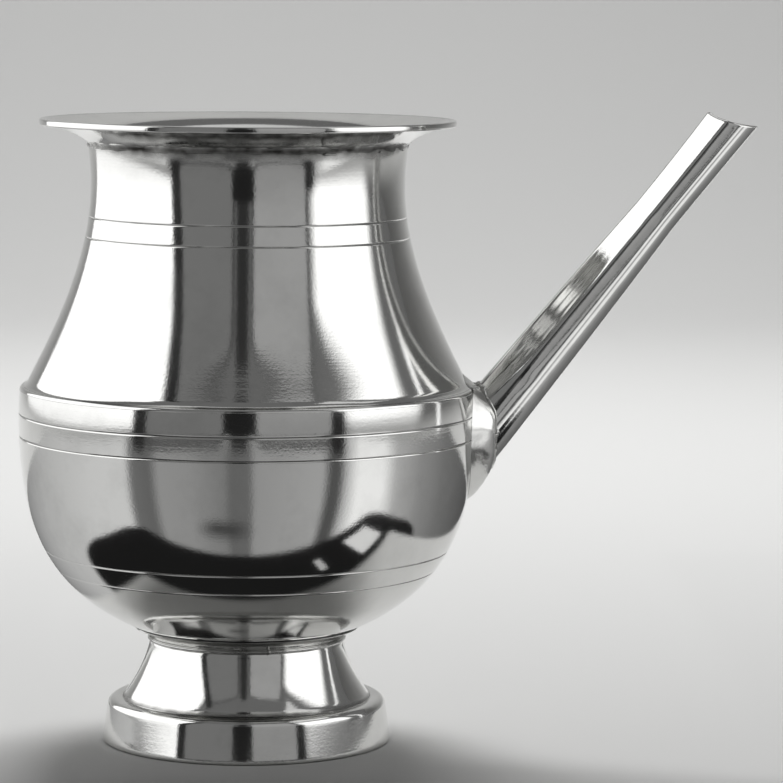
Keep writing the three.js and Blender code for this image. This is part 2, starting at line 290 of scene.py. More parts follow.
def heal(piece: Object, gap: float = 0.002) -> None:
    """Merges a mesh's points that lie within a gap in millimetres, and turns its faces outwards."""
    with editing(piece):
        bpy.ops.mesh.remove_doubles(threshold=gap * MM)
        bpy.ops.mesh.normals_make_consistent(inside=False)


def cut_away(piece: Object, cutter: Object) -> None:
    """Takes the space of one closed mesh out of another, and removes the first.

    Args:
        piece: The object that is cut.
        cutter: The object whose space is taken out.
    """
    make_active(piece)
    saw = piece.modifiers.new("saw", "BOOLEAN")
    saw.operation, saw.object, saw.solver = "DIFFERENCE", cutter, "MANIFOLD"
    bpy.ops.object.modifier_apply(modifier=saw.name)
    bpy.data.objects.remove(cutter)


def joined(pieces: Sequence[Object]) -> Object:
    """Joins objects into the first, which keeps its name."""
    make_active(pieces[0])
    for other in pieces[1:]:
        other.select_set(True)
    bpy.ops.object.join()
    return pieces[0]


def about(bearing: float, radius: float, height: float) -> Vector:
    """Returns a place about the Z axis in metres, from radians and millimetres."""
    return Vector((math.cos(bearing) * radius * MM, math.sin(bearing) * radius * MM, height * MM))


@dataclass(frozen=True)
class TurningAxis:
    """The line that a piece is turned about."""

    foot: Vector  # the point of the axis where its own height is zero, in metres
    lean: float  # degrees from upright towards the spout's side
    facets: int  # how many go round a piece

    @cached_property
    def stand(self) -> Matrix:
        """The axis's own frame, in metres."""
        return Matrix.Translation(self.foot) @ Euler((0, math.radians(self.lean), 0)).to_matrix().to_4x4()

    @cached_property
    def own(self) -> Matrix:
        """What turns a place of the vessel into the axis's own frame."""
        return self.stand.inverted()

    def spin(self, name: str, outline: Line, closed: bool = True) -> Object:
        """Turns a half section into a piece about the Z axis, as on a lathe.

        A point is drawn along the half section by extruding it, and the line is spun about the axis.

        Args:
            name: The piece's name.
            outline: The half section's points, anticlockwise round the metal.
            closed: Whether the last point joins the first; a line from axis to axis is left open.

        Returns:
            The closed mesh object, not yet on this axis.
        """
        path = [Vector((r * MM, 0, h * MM)) for r, h in outline]
        if closed:
            path.append(path[0])
        piece = begun(bpy.ops.mesh.primitive_plane_add, name, Matrix.Translation(path[0]), size=MM)
        with editing(piece):
            bpy.ops.mesh.merge(type="CENTER")
            for a, b in zip(path, path[1:]):
                bpy.ops.mesh.extrude_vertices_move(TRANSFORM_OT_translate={"value": b - a})
            bpy.ops.mesh.select_all(action="SELECT")
            bpy.ops.mesh.spin(steps=self.facets, angle=math.tau, center=(0, 0, 0), axis=(0, 0, 1))
        heal(piece)
        return piece

    def turn(self, name: str, outline: Line, closed: bool = True) -> Object:
        """Turns a half section into a piece, as spin does, and sets it on this axis."""
        return settled(self.spin(name, outline, closed), self.stand)

    def faces(self, centre: Vector, normal: Vector) -> bool:
        """Says of a face's centre and normal whether it looks towards the axis."""
        p, n = self.own @ centre, self.own.to_3x3() @ normal
        return p.x * n.x + p.y * n.y < -FACING * math.hypot(p.x, p.y)


# The vessel's own axis and the sizes that its pieces share, in millimetres

VESSEL_X = sum(corner[0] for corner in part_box("foot_base_band")) / 2
VESSEL = TurningAxis(Vector((VESSEL_X, 0, 0)), 0.0, 192)
WALL = 1.1
SEAT_GAP = 0.25
CLOSE_PITCH = 0.5  # of the sides that radii and heights are read from
LINE = TurnedLine()
FRONT_DIRT = (-134.0, -34.0)  # degrees round the vessel, on the camera's side, where the painted shade and dirt under the rim are thick


def half_width(node: str) -> float:
    """Returns half of a node's width across the vessel."""
    low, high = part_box(node)
    return (high[1] - low[1]) / 2 / MM


def top_of(node: str) -> float:
    """Returns the height of a node's top."""
    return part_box(node)[1][2] / MM


def soil(piece: Object, joints: Sequence[tuple[Point, float]], thick: Point | None = None) -> None:
    """Marks where dirt and old polish gather and where shade is painted, as an attribute from 0 to 1 that
    the finish reads.

    Args:
        piece: The mesh object, turned about the vessel's axis.
        joints: Radius and height of each groove, joint or crease, with how far its dark mark reaches.
        thick: The bearings in degrees between which the dirt and painted shade are thick, and thin
            elsewhere.
    """
    thin, fading = 0.45, 40.0
    values = []
    for vertex in piece.data.vertices:
        x, y, height = VESSEL.own @ vertex.co / MM
        share = 1.0
        if thick:
            away = abs((math.degrees(math.atan2(y, x)) - sum(thick) / 2 + 180) % 360 - 180)
            share = max(thin, 1 - ramp(away, (thick[1] - thick[0]) / 2, fading))
        near = [share - math.dist((math.hypot(x, y), height), joint) / reach for joint, reach in joints]
        values.append(max([0.0, *near]))
    piece.data.attributes.new("soil", "FLOAT", "POINT").data.foreach_set("value", values)


def uneven(piece: Object, amount: float, size: float, seed: float) -> None:
    """Makes a surface lumpy, as solder sets.

    Args:
        piece: The mesh object.
        amount: Largest movement in millimetres.
        size: Distance between lumps in millimetres.
        seed: Picks another run of lumps.
    """
    normals = [v.normal.copy() for v in piece.data.vertices]
    for vertex, normal in zip(piece.data.vertices, normals):
        where = vertex.co / (size * MM) + Vector((seed, 0, 0))
        vertex.co += normal * noise.noise(where) * amount * MM


def finish(
    piece: Object,
    node: str,
    slot: Slot,
    outer: Material,
    inner: Material | None = None,
    hides: FaceTest | None = None,
) -> None:
    """Args:
        piece: The mesh object.
        node: The CAD node that it replaces.
        slot: The record's slot that its finish belongs to.
        outer: The finish of what is seen.
        inner: The finish of the inside.
        hides: Says of a face's centre and normal whether it belongs to the inside.
    """
    piece.data.materials.clear()
    piece.data.materials.append(outer)
    if inner and hides:
        piece.data.materials.append(inner)
        for face in piece.data.polygons:
            face.material_index = int(hides(face.center, face.normal))
    make_active(piece)
    bpy.ops.object.shade_smooth_by_angle(angle=math.radians(CREASE[slot]))
    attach(piece, BODY)
    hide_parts(node)
    log.info("%s: %d faces for %s", piece.name, len(piece.data.polygons), node)


# Finishes


def linear(hex_colour: str) -> tuple[float, float, float, float]:
    """Turns an sRGB hex colour into the linear values that a shader takes."""
    parts = [int(hex_colour[i : i + 2], 16) / 255 for i in (1, 3, 5)]
    values = [p / 12.92 if p <= 0.04045 else ((p + 0.055) / 1.055) ** 2.4 for p in parts]
    return (*values, 1.0)


def add(tree: NodeTree, kind: str, inputs: dict | None = None, **settings: object) -> Sequence[NodeSocket]:
    """Adds a node with its settings, and links or fills its inputs.

    Args:
        tree: The node tree.
        kind: The node's type, without the words that all types begin with.
        inputs: Input name or number, to a socket to link or a value to set.
        settings: The node's own properties.

    Returns:
        The new node's outputs, by number or name.
    """
    node = tree.nodes.new("ShaderNode" + kind)
    for key, value in settings.items():
        setattr(node, key, value)
    for key, value in (inputs or {}).items():
        if isinstance(value, NodeSocket):
            tree.links.new(value, node.inputs[key])
        else:
            node.inputs[key].default_value = value
    return node.outputs


def blank(name: str) -> tuple[Material, Adder]:
    """Makes a material with no nodes.

    Args:
        name: The material's name.

    Returns:
        The material, and the function add for its own tree.
    """
    material = bpy.data.materials.new(name)
    material.use_nodes = True
    material.node_tree.nodes.clear()
    return material, partial(add, material.node_tree)


@dataclass(frozen=True)
class BuffedNickelSilver:
    """Nickel silver, raised or spun, then buffed on a wheel while it turned.

    The eye gets sharp reflections that are drawn out a little across the buffing lines, edges of
    reflections that break up over fine unevenness, hairline scratches, dull dark dirt in the grooves, and
    painted shade, dark like the dirt, under the rim.
    Sizes are in millimetres.
    """

    name: str = "buffed_nickel_silver"
    colour: str = "#E4E4E2"
    stain: str = "#D9D9D7"  # where the polish has dulled
    dirt: str = "#3A3937"  # old polish and tarnish in the grooves, and painted shade under the rim
    roughness: float = 0.075
    haze: float = 0.035  # how much rougher the dulled places are
    dirt_roughness: float = 0.4
    dirt_patch: float = 3.4  # between the gaps in the dirt and painted shade
    wave: float = 26.0  # between the broad dents left by raising
    wave_height: float = 0.16
    grain: float = 0.6  # between the fine lumps that break up a reflection
    grain_height: float = 0.008
    line: float = 0.55  # between buffing lines, far coarser than real ones so that they show
    line_height: float = 0.005
    line_stretch: float = 40.0  # how much longer a buffing line is than it is wide
    pit: float = 0.8  # between sparse round dents
    pit_depth: float = 0.003
    scratch: float = 8.0  # across the cells that hold one scratch each
    scratch_width: float = 0.05
    scratch_height: float = 0.012
    lengthwise: bool = False  # whether the buffing runs along the axis instead of round it

    def buffing(self, node: Adder, own: NodeSocket) -> NodeSocket:
        """Draws the buffing lines, a noise that changes fast across them and slowly along them.

        Args:
            node: Adds a node to the material.
            own: Coordinates about the axis, in millimetres.

        Returns:
            The noise.
        """
        x, y, z = node("SeparateXYZ", {0: own})
        if self.lengthwise:
            slow = node("Math", {0: z, 1: 0.8 / self.line_stretch}, operation="MULTIPLY")[0]
            drawn = node("CombineXYZ", {0: x, 1: y, 2: slow})[0]
            return node("TexNoise", {"Vector": drawn, "Scale": 1 / self.line, "Detail": 3.0})[0]
        flat = node("CombineXYZ", {0: x, 1: y})[0]
        radius = node("VectorMath", {0: flat}, operation="LENGTH")["Value"]
        slow = node("VectorMath", {0: flat, "Scale": 1 / self.line_stretch}, operation="SCALE")[0]
        slow_x, slow_y, _ = node("SeparateXYZ", {0: slow})
        drawn = node("CombineXYZ", {0: radius, 1: z, 2: slow_x})[0]
        values = {"Vector": drawn, "W": slow_y, "Scale": 1 / self.line, "Detail": 3.0}
        return node("TexNoise", values, noise_dimensions="4D")[0]

    def scratches(self, node: Adder, own: NodeSocket) -> NodeSocket:
        """Draws the scratches: each cell of a net holds one plane, which meets the surface in a short line.

        Args:
            node: Adds a node to the material.
            own: Coordinates about the axis, in millimetres.

        Returns:
            A socket that is 1 in a scratch and 0 beside it.
        """
        cells = node("TexVoronoi", {"Vector": own, "Scale": 1 / self.scratch})
        aim = node("VectorMath", {0: cells["Color"], 1: (0.5, 0.5, 0.5)}, operation="SUBTRACT")[0]
        unit = node("VectorMath", {0: aim}, operation="NORMALIZE")[0]
        scaled = node("VectorMath", {0: own, "Scale": 1 / self.scratch}, operation="SCALE")[0]
        away = node("VectorMath", {0: scaled, 1: cells["Position"]}, operation="SUBTRACT")[0]
        off = node("VectorMath", {0: away, 1: unit}, operation="DOT_PRODUCT")["Value"]
        near = node("Math", {0: off}, operation="ABSOLUTE")[0]
        steps = {0: near, 1: 0.0, 2: self.scratch_width / self.scratch, 3: 1.0, 4: 0.0}
        return node("MapRange", steps)[0]

    def build(self, axis: TurningAxis) -> Material:
        """Makes the material for pieces that are turned about an axis.

        Args:
            axis: The axis that buffing lines and patterns follow.

        Returns:
            The material.
        """
        material, node = blank(self.name)
        place = {"Vector": node("TexCoord")["Object"], "Scale": (1 / MM, 1 / MM, 1 / MM)}
        turn = {"Location": axis.own.translation / MM, "Rotation": axis.own.to_euler()}
        own = node("Mapping", {**place, **turn})[0]
        waves, grains, smudges, blotches = (
            node("TexNoise", {"Vector": own, "Scale": 1 / size, "Detail": detail, "Roughness": rough})[0]
            for size, detail, rough in (
                (self.wave, 1.0, 0.5),
                (self.grain, 3.0, 0.6),
                (self.wave * 0.6, 4.0, 0.65),
                (self.dirt_patch, 3.0, 0.5),
            )
        )
        spots = node("TexVoronoi", {"Vector": own, "Scale": 1 / self.pit})
        sinking = {0: spots["Distance"], 1: 0.0, 2: 0.42, 3: -1.0, 4: 0.0}
        dents = node("MapRange", sinking, interpolation_type="SMOOTHSTEP")[0]
        depth = node("Math", {0: spots["Color"], 1: self.pit_depth}, operation="MULTIPLY")[0]
        height = 0.0
        for relief, tall in (
            (waves, self.wave_height),
            (grains, self.grain_height),
            (self.buffing(node, own), self.line_height),
            (dents, depth),
            (self.scratches(node, own), -self.scratch_height),
        ):
            height = node("Math", {0: relief, 1: tall, 2: height}, operation="MULTIPLY_ADD")[0]

        # the dirt and painted shade are whole where they are thick, and break up at their border
        soiled = node("Attribute", attribute_name="soil")["Fac"]
        blotched = node("Math", {0: soiled, 1: blotches}, operation="ADD")[0]
        broken = node("Math", {0: blotched, 1: 0.5}, operation="SUBTRACT", use_clamp=True)[0]
        full = node("Math", {0: soiled, 1: 3.0}, operation="MULTIPLY", use_clamp=True)[0]
        dirty = node("Math", {0: broken, 1: full}, operation="MULTIPLY", use_clamp=True)[0]

        dull = node("MapRange", {0: smudges, 1: 0.45, 2: 0.72, 3: 0.0, 4: 1.0})[0]
        colour, rough = linear(self.colour), self.roughness
        for share, tint, rougher in ((dull, self.stain, self.haze), (dirty, self.dirt, self.dirt_roughness)):
            mixed = {"Factor": share, "A": colour, "B": linear(tint)}
            colour = node("Mix", mixed, data_type="RGBA")["Result"]
            sums = {0: share, 1: rougher, 2: rough}
            rough = node("Math", sums, operation="MULTIPLY_ADD", use_clamp=True)[0]
        bump = node("Bump", {"Height": height, "Distance": MM, "Strength": 1.0})[0]
        surface = {"Base Color": colour, "Metallic": 1.0, "Roughness": rough, "Normal": bump}
        node("OutputMaterial", {"Surface": node("BsdfPrincipled", surface)[0]})
        return material


@dataclass
class Finishes:
    """The materials that the sub-assemblies share."""

    outside: Material
    inside: Material
    spout: Material
    solder: Material
    filed: Material


# The vessel's sub-assemblies; sizes in millimetres, with the names that the CAD source gives them


@dataclass
class SolderDrop:
    """A drop of solder that ran and set beside a joint."""

    bearing: float  # degrees round the piece's own axis
    width: float  # along the joint
    height: float  # across the joint
    depth: float = 0.7  # as a share of its height, half of it sunk in the joint

    def build(self, radius: float, level: float) -> Object:
        """Sets the drop on a joint.

        Args:
            radius: The joint's radius.
            level: The joint's height along the axis.

        Returns:
            The drop, in the axis's own frame.
        """
        turn = Matrix.Rotation(math.radians(self.bearing), 4, "Z")
        seat = turn @ Matrix.Translation((radius * MM, 0, level * MM))
        grown = Matrix.Diagonal((self.height * self.depth * MM, self.width * MM, self.height * MM, 1))
        shape = {"segments": 20, "ring_count": 12, "radius": 0.5}
        return begun(bpy.ops.mesh.primitive_uv_sphere_add, "solder_drop", seat @ grown, **shape)


@dataclass
class Foot:
    """Base band, cone and collar, soldered one on top of the next."""

    band_radius: float = 33.1
    band_corner: float = 1.9
    band_lean: float = 8.5
    band_edge: float = 0.6
    band_wall: float = 1.5
    ledge_bevel: tuple[float, float] = (0.6, 0.2)  # across and down, at the hole in the band's top
    edge_break: float = 0.15
    cone_hollow: float = 0.4
    cone_ledge: float = 1.0
    cone_spigot: float = 6.0
    cone_pitch: float = 0.5
    cone_foot: tuple[float, float] = (0.4, 0.02)  # how far its lower edge flares out, and lies off the band
    waist_radius: float = 23.1
    collar_height: float = 2.9
    collar_spigot: float = 2.5
    collar_seat: float = 1.6
    bead_radius: float = 0.5
    foot_radius: float = half_width("foot_base_band")
    band_height: float = top_of("foot_base_band")
    cone_radius: float = half_width("foot_cone")
    waist_level: float = top_of("foot_cone")
    collar_radius: float = half_width("foot_collar")

    @property
    def cone_level(self) -> float:
        """The height of the cone's seat."""
        return self.band_height + SEAT_GAP

    @property
    def collar_level(self) -> float:
        """The height of the collar's lower edge."""
        return self.waist_level + SEAT_GAP

    @property
    def hole_radius(self) -> float:
        """The radius of the band's hole."""
        return self.cone_radius - self.cone_ledge

    def band(self) -> Object:
        """Turns the base band, whose side leans out to a rounded lower edge."""
        c, soft, lean = self.band_corner, self.band_edge, math.radians(self.band_lean)
        inner, under = self.band_radius - self.band_wall, self.band_height - self.band_wall
        edge = arc((self.foot_radius - soft, soft), soft, -90, self.band_lean, 8)
        tangent = self.band_height - c * (1 - math.sin(lean))
        start = edge[-1][0] - math.tan(lean) * (tangent - edge[-1][1])
        corner = arc((start - c * math.cos(lean), self.band_height - c), c, self.band_lean, 90, 14)
        across, down = self.ledge_bevel
        outline = [
            (inner, self.edge_break),
            (inner + self.edge_break, 0.0),
            *edge,
            *evened([edge[-1], corner[0]], 0.7)[1:-1],
            *corner,
            (self.hole_radius + across, self.band_height),
            (self.hole_radius, self.band_height - down),
            (self.hole_radius, under),
            *arc((inner - 1, under - 1), 1, 90, 0, 4),
        ]
        piece = VESSEL.turn("base_band", outline)
        # darker at the joint with the cone, and along the lower edge by the floor
        soil(piece, [((self.cone_radius + 0.4, self.band_height), 0.3), ((self.foot_radius - 1, 0), 1.2)])
        return piece

    def cone_side(self) -> list[Point]:
        """Returns the cone's outside from its seat to the waist."""
        tall = self.waist_level - self.cone_level
        drawn_in = (self.cone_radius + self.waist_radius) / 2 - self.cone_hollow * 5
        middle = (drawn_in, tall / 2 + self.cone_hollow)
        curve = bezier([(self.cone_radius, 0.0), middle, (self.waist_radius, tall)], 60)
        return lifted(evened(curve, self.cone_pitch), self.cone_level)

    def cone(self) -> Object:
        """Turns the flaring cone, with the sleeve that goes into the band."""
        side = self.cone_side()
        sleeve = self.hole_radius - SEAT_GAP
        toe, seat = side[0][0] + self.cone_foot[0], self.band_height + self.cone_foot[1]
        inside_start = round(2 * WALL / self.cone_pitch)
        outline = [
            (sleeve - WALL, self.cone_level - self.cone_spigot),
            (sleeve, self.cone_level - self.cone_spigot),
            (sleeve, seat),
            (toe, seat),
            (side[0][0] + self.edge_break, self.band_height + 0.2),
            *side[2:-1],
            (side[-1][0] - 0.1, side[-1][1]),
            *inset(side, WALL)[: inside_start - 1 : -1],
            (sleeve - WALL, self.cone_level + SEAT_GAP),
        ]
        piece = VESSEL.turn("foot_cone_shell", outline)
        soil(piece, [(side[0], 0.45), (side[-1], 0.4)])
        return piece

    def collar(self, bowl: "Bowl") -> Object:
        """Turns the collar that carries the bowl, with its hollow moulding.

        Args:
            bowl: The bowl, whose underside shapes the seat.

        Returns:
            The collar.
        """
        w, c, h = self.waist_radius, self.collar_radius, self.collar_height
        curve = bezier([(w, 0.0), (w, h * 0.55), (c - (c - w) * 0.5, h * 0.8), (c, h * 0.9)], 40)
        moulding = lifted(evened(curve, 0.3), self.collar_level)
        sleeve, seat = w - WALL - SEAT_GAP, c - self.collar_seat
        seat_top = bowl.underside_height(seat) - SEAT_GAP
        outline = [
            (sleeve - WALL, self.collar_level - self.collar_spigot),
            (sleeve, self.collar_level - self.collar_spigot),
            (sleeve, self.collar_level),
            (w - 0.12, self.collar_level),
            *moulding[1:-1],
            (c - 0.03, moulding[-1][1] + 0.04),
            (c, moulding[-1][1] + 0.14),
            (c - 0.1, self.collar_level + h),
            (seat, seat_top),
            (sleeve - WALL, min(seat_top - WALL, self.collar_level + h / 3)),
        ]
        piece = VESSEL.turn("bowl_collar", outline)
        soil(piece, [(moulding[0], 0.4)])
        return piece

    def waist_bead(self) -> Object:
        """Turns the solder bead at the waist, with its one drop, and leaves it uneven."""
        r, level = self.waist_radius + 0.1, self.collar_level
        inner, half = r - 0.35, 0.3
        round_side = arc((r, level), self.bead_radius, -75, 75, 8)
        outline = [(inner, level - half), *round_side, (inner, level + half)]
        drop = SolderDrop(-77.5, 1.2, 1.1).build(r + 0.3, level)
        piece = settled(joined([VESSEL.spin("waist_bead", outline), drop]), VESSEL.stand)
        uneven(piece, 0.12, 3.4, 4.0)
        return piece

    def build(self, finishes: Finishes, bowl: "Bowl") -> None:
        """Builds and dresses the foot.

        Args:
            finishes: The materials.
            bowl: The bowl that stands on the collar.
        """

        def hollow(centre: Vector, normal: Vector) -> bool:
            """Says whether a face belongs to the hollow under the foot."""
            return VESSEL.faces(centre, normal) or normal.z < -0.8

        pieces = {"foot_base_band": self.band(), "foot_cone": self.cone(), "foot_collar": self.collar(bowl)}
        for node, piece in pieces.items():
            finish(piece, node, Slot.METAL, finishes.outside, finishes.inside, hollow)
        finish(self.waist_bead(), "waist_solder", Slot.SOLDER, finishes.solder)


@dataclass
class Bowl:
    """The round bowl, open at the top where the shoulder tucks into it."""

    mouth_draw: float = 0.3
    height: float = 57.4
    shoulder: float = 6.3
    side_length: float = 23.4
    rounding: float = 25.2
    rise: float = 23.3
    sag: float = 3.3
    upper_lines: tuple[float, float] = (6.4, 11.8)
    lower_lines: tuple[float, float] = (13.8, 18.5)
    lip: float = 0.85
    lip_gap: float = 0.04  # the mouth's edge is burnished down to this distance from the shoulder
    lip_break: float = 0.2
    pitch: float = 0.9
    radius: float = half_width("bowl_shell")
    collar_radius: float = half_width("foot_collar")
    mouth_level: float = top_of("bowl_shell")

    @property
    def level(self) -> float:
        """The height at which the bowl sits on its collar."""
        return self.mouth_level - self.height

    @property
    def mouth_radius(self) -> float:
        """The outer radius of the bowl's mouth."""
        return self.radius - self.mouth_draw

    def side(self, pitch: float = 0.0) -> list[Point]:
        """Returns the bowl's outside, from its underside's middle to its mouth, at a pitch or its own."""
        foot, r, widest = self.collar_radius, self.radius, self.height - self.shoulder
        c, s = math.cos(math.radians(self.rise)), math.sin(math.radians(self.rise))
        pull = foot * 0.5
        under = [(0.0, -self.sag), (pull, -self.sag), (foot - c * pull * 0.5, -s * pull * 0.5), (foot, 0.0)]
        swell = (foot + c * self.rounding, s * self.rounding)
        belly = [(foot, 0.0), swell, (r, widest - self.side_length), (r, widest)]
        top = [(r, widest), (r, widest + self.shoulder / 2), (self.mouth_radius, self.height)]
        line = bezier(under, 60) + bezier(belly, 160)[1:] + bezier(top, 20)[1:]
        return lifted(evened(line, pitch or self.pitch), self.level)

    def radius_at(self, height: float) -> float:
        """Returns the bowl's outer radius at a height above the ground."""
        return read_off(self.side(CLOSE_PITCH), height)

    def underside_height(self, radius: float) -> float:
        """Returns the height of the bowl's underside at a radius."""
        return read_off(self.side(CLOSE_PITCH), radius, known=0)

    def build(self, finishes: Finishes, bore: Object) -> None:
        """Builds and dresses the bowl.

        Args:
            finishes: The materials.
            bore: A rod that makes the hole into the spout.
        """
        low = [self.level + h for h in self.lower_lines]
        high = [self.mouth_level - d for d in self.upper_lines]
        top, lip = self.mouth_level, self.lip
        outside = [p for p in LINE.cut_in(self.side, self.pitch, low + high) if p[1] < top - lip]
        inside = inset(evened(self.side(), 2 * self.pitch), WALL)[::-1]
        burnished = self.mouth_radius - WALL - SEAT_GAP + self.lip_gap
        outline = [
            *outside,
            *arc((self.mouth_radius - lip, top - lip), lip, 0, 90, 5),
            (burnished, top),
            (burnished, top - self.lip_break),
            *[p for p in inside if p[1] < top - 2 * self.lip_break],
        ]
        piece = VESSEL.turn("bowl_shell_smooth", outline, closed=False)
        cut_away(piece, bore)
        grooves = [((self.radius_at(h) - LINE.depth, h), 0.12) for h in high]
        soil(piece, [*grooves, ((self.collar_radius, self.level), 0.4)])

        def hidden(centre: Vector, normal: Vector) -> bool:
            """Says whether a face belongs to the bowl's inside or to what the foot hides."""
            r, h = math.hypot(centre.x - VESSEL_X, centre.y) / MM, centre.z / MM
            upwards = normal.z > 0.5 and h < top - 5
            return VESSEL.faces(centre, normal) or upwards or r < self.collar_radius - 2

        finish(piece, "bowl_shell", Slot.METAL, finishes.outside, finishes.inside, hidden)


@dataclass
class Neck:
    """The waisted neck and sloping shoulder."""

    lap_depth: float = 2.6
    radius: float = 37.1
    top_flare: float = 0.7
    waist_height: float = 47.7
    flare_height: float = 9.3
    drop: float = 18.9
    sweep: float = 11.4
    slope: float = 26.5
    lines: tuple[float, float] = (40.0, 35.3)
    fillet: float = 0.55
    pitch: float = 0.8
    shoulder_radius: float = half_width("neck_shell")
    level: float = top_of("bowl_shell")

    @property
    def top_level(self) -> float:
        """The height of the neck's top."""
        return self.level + self.waist_height + self.flare_height

    def side(self, pitch: float = 0.0) -> list[Point]:
        """Returns the neck's outside, from the bowl's mouth to the rim, at a pitch or its own."""
        foot, r, waist, lean = self.shoulder_radius, self.radius, self.waist_height, math.radians(self.slope)
        swept = (foot - self.sweep * math.sin(lean), self.sweep * math.cos(lean))
        shoulder = [(foot, 0.0), swept, (r, waist - self.drop), (r, waist)]
        flare = [(r, waist), (r, waist + self.flare_height / 2)]
        flare.append((r + self.top_flare, waist + self.flare_height))
        line = bezier(shoulder, 140) + bezier(flare, 24)[1:]
        return lifted(evened(line, pitch or self.pitch), self.level)

    def build(self, finishes: Finishes) -> None:
        """Builds and dresses the neck.

        Args:
            finishes: The materials.
        """
        heights = [self.level + h for h in self.lines]
        foot, low, tall = self.shoulder_radius, self.level - self.lap_depth, self.fillet * 1.6
        even = self.side(CLOSE_PITCH)
        fillet = [
            (foot + self.fillet, self.level + 0.03),
            (foot + self.fillet * 0.25, self.level + 0.15),
            (read_off(even, self.level + tall), self.level + tall),
        ]
        outline = [
            (foot - WALL, low),
            (foot, low),
            (foot, self.level - 0.05),
            *bezier(fillet, 8),
            *[p for p in LINE.cut_in(self.side, self.pitch, heights) if p[1] > self.level + tall + 0.2],
            *inset(evened(self.side(), 2 * self.pitch), WALL)[::-1],
        ]
        piece = VESSEL.turn("neck_shell_smooth", outline)
        grooves = [((read_off(even, h) - LINE.depth, h), 0.15) for h in heights]
        # dirt in the turned lines, and painted shade with dirt on the neck's top under the rim, thick on the
        # camera's side
        soil(piece, [*grooves, ((self.radius + self.top_flare, self.top_level + 0.2), 3.2)], FRONT_DIRT)
        finish(piece, "neck_shell", Slot.METAL, finishes.outside, finishes.inside, VESSEL.faces)


@dataclass
class Rim:
    """The everted rim, dished on top, and the solder under it."""

    radius: float = 49.2
    rise: float = 5.0
    edge: float = 1.5
    sweep: float = 2.9
    spigot: float = 2.4
    fillet: float = 1.6
    dish_edge: float = 2.2  # between the dish on its top and its outer edge
    neck_top_radius: float = 37.8
    pitch: float = 0.45
    edge_rounds: tuple[float, float] = (0.3, 0.45)
    drops: tuple[SolderDrop, ...] = (
        SolderDrop(-69.0, 4.6, 0.45),
        SolderDrop(-60.5, 3.2, 0.5),
        SolderDrop(-36.0, 1.2, 1.2),
    )

    def underside(self) -> list[Point]:
        """Returns the rim's underside from its seat to its edge, heights from the seat."""
        r, half = self.neck_top_radius, self.edge / 2
        curve = [(r, 0.0), (r + self.sweep, self.sweep), (self.radius - half, self.rise - half)]
        return evened(bezier(curve, 60), self.pitch)

    def build(self, finishes: Finishes, neck: Neck) -> None:
        """Builds and dresses the rim and its solder.

        Args:
            finishes: The materials.
            neck: The neck that the rim sits on.
        """
        level = neck.top_level + SEAT_GAP
        r, half, (low, high) = self.neck_top_radius, self.edge / 2, self.edge_rounds
        under = self.underside()
        sleeve = r - WALL - SEAT_GAP
        outline = [
            (sleeve - WALL, -self.spigot),
            (sleeve, -self.spigot),
            (sleeve, 0.0),
            *under[:-1],
            *arc((self.radius - low, self.rise - half + low), low, -90, 0, 5),
            *arc((self.radius - high, self.rise + half - high), high, 0, 90, 8),
            *[p for p in inset(under, WALL)[::-1] if r < p[0] < self.radius - self.dish_edge],
            *bezier([(sleeve + 0.6, 1.55), (sleeve - WALL, WALL), (sleeve - WALL, 0.0)], 6),
        ]
        piece = VESSEL.turn("rim_smooth", lifted(outline, level))
        # painted shade with dirt in the crease under the rim and at the opening's inner edge, thick on the
        # camera's side
        soil(piece, [((r, level), 2.8), ((sleeve - WALL, level), 1.6)], FRONT_DIRT)

        def hidden(centre: Vector, normal: Vector) -> bool:
            """Says whether a face belongs to the rim's sleeve in the neck."""
            return VESSEL.faces(centre, normal) and centre.z / MM < level + 0.8

        finish(piece, "rim_flange", Slot.METAL, finishes.outside, finishes.inside, hidden)
        drops = [drop.build(r + 0.2, level - 1.0) for drop in self.drops]
        solder = settled(joined([self.bead(level), *drops]), VESSEL.stand)
        uneven(solder, 0.5, 2.6, 9.0)
        # painted shade with dirt on the solder in the crease under the rim, thick on the camera's side
        soil(solder, [((r, level - 0.2), 1.7)], FRONT_DIRT)
        finish(solder, "rim_solder", Slot.SOLDER, finishes.solder)

    def bead(self, level: float) -> Object:
        """Turns the thin fillet in the corner under the rim."""
        r, reach = self.neck_top_radius, self.fillet * 0.5
        corner = [p for p in self.underside() if p[0] < r + reach]
        hollow = bezier([(r + 0.05, -reach), (r + 0.2, -0.1), corner[-1]], 6)
        outline = [(r - 0.2, -reach), *hollow, *inset(corner, 0.15)[::-1], (r - 0.35, -0.3)]
        return VESSEL.spin("rim_bead", lifted(outline, level))


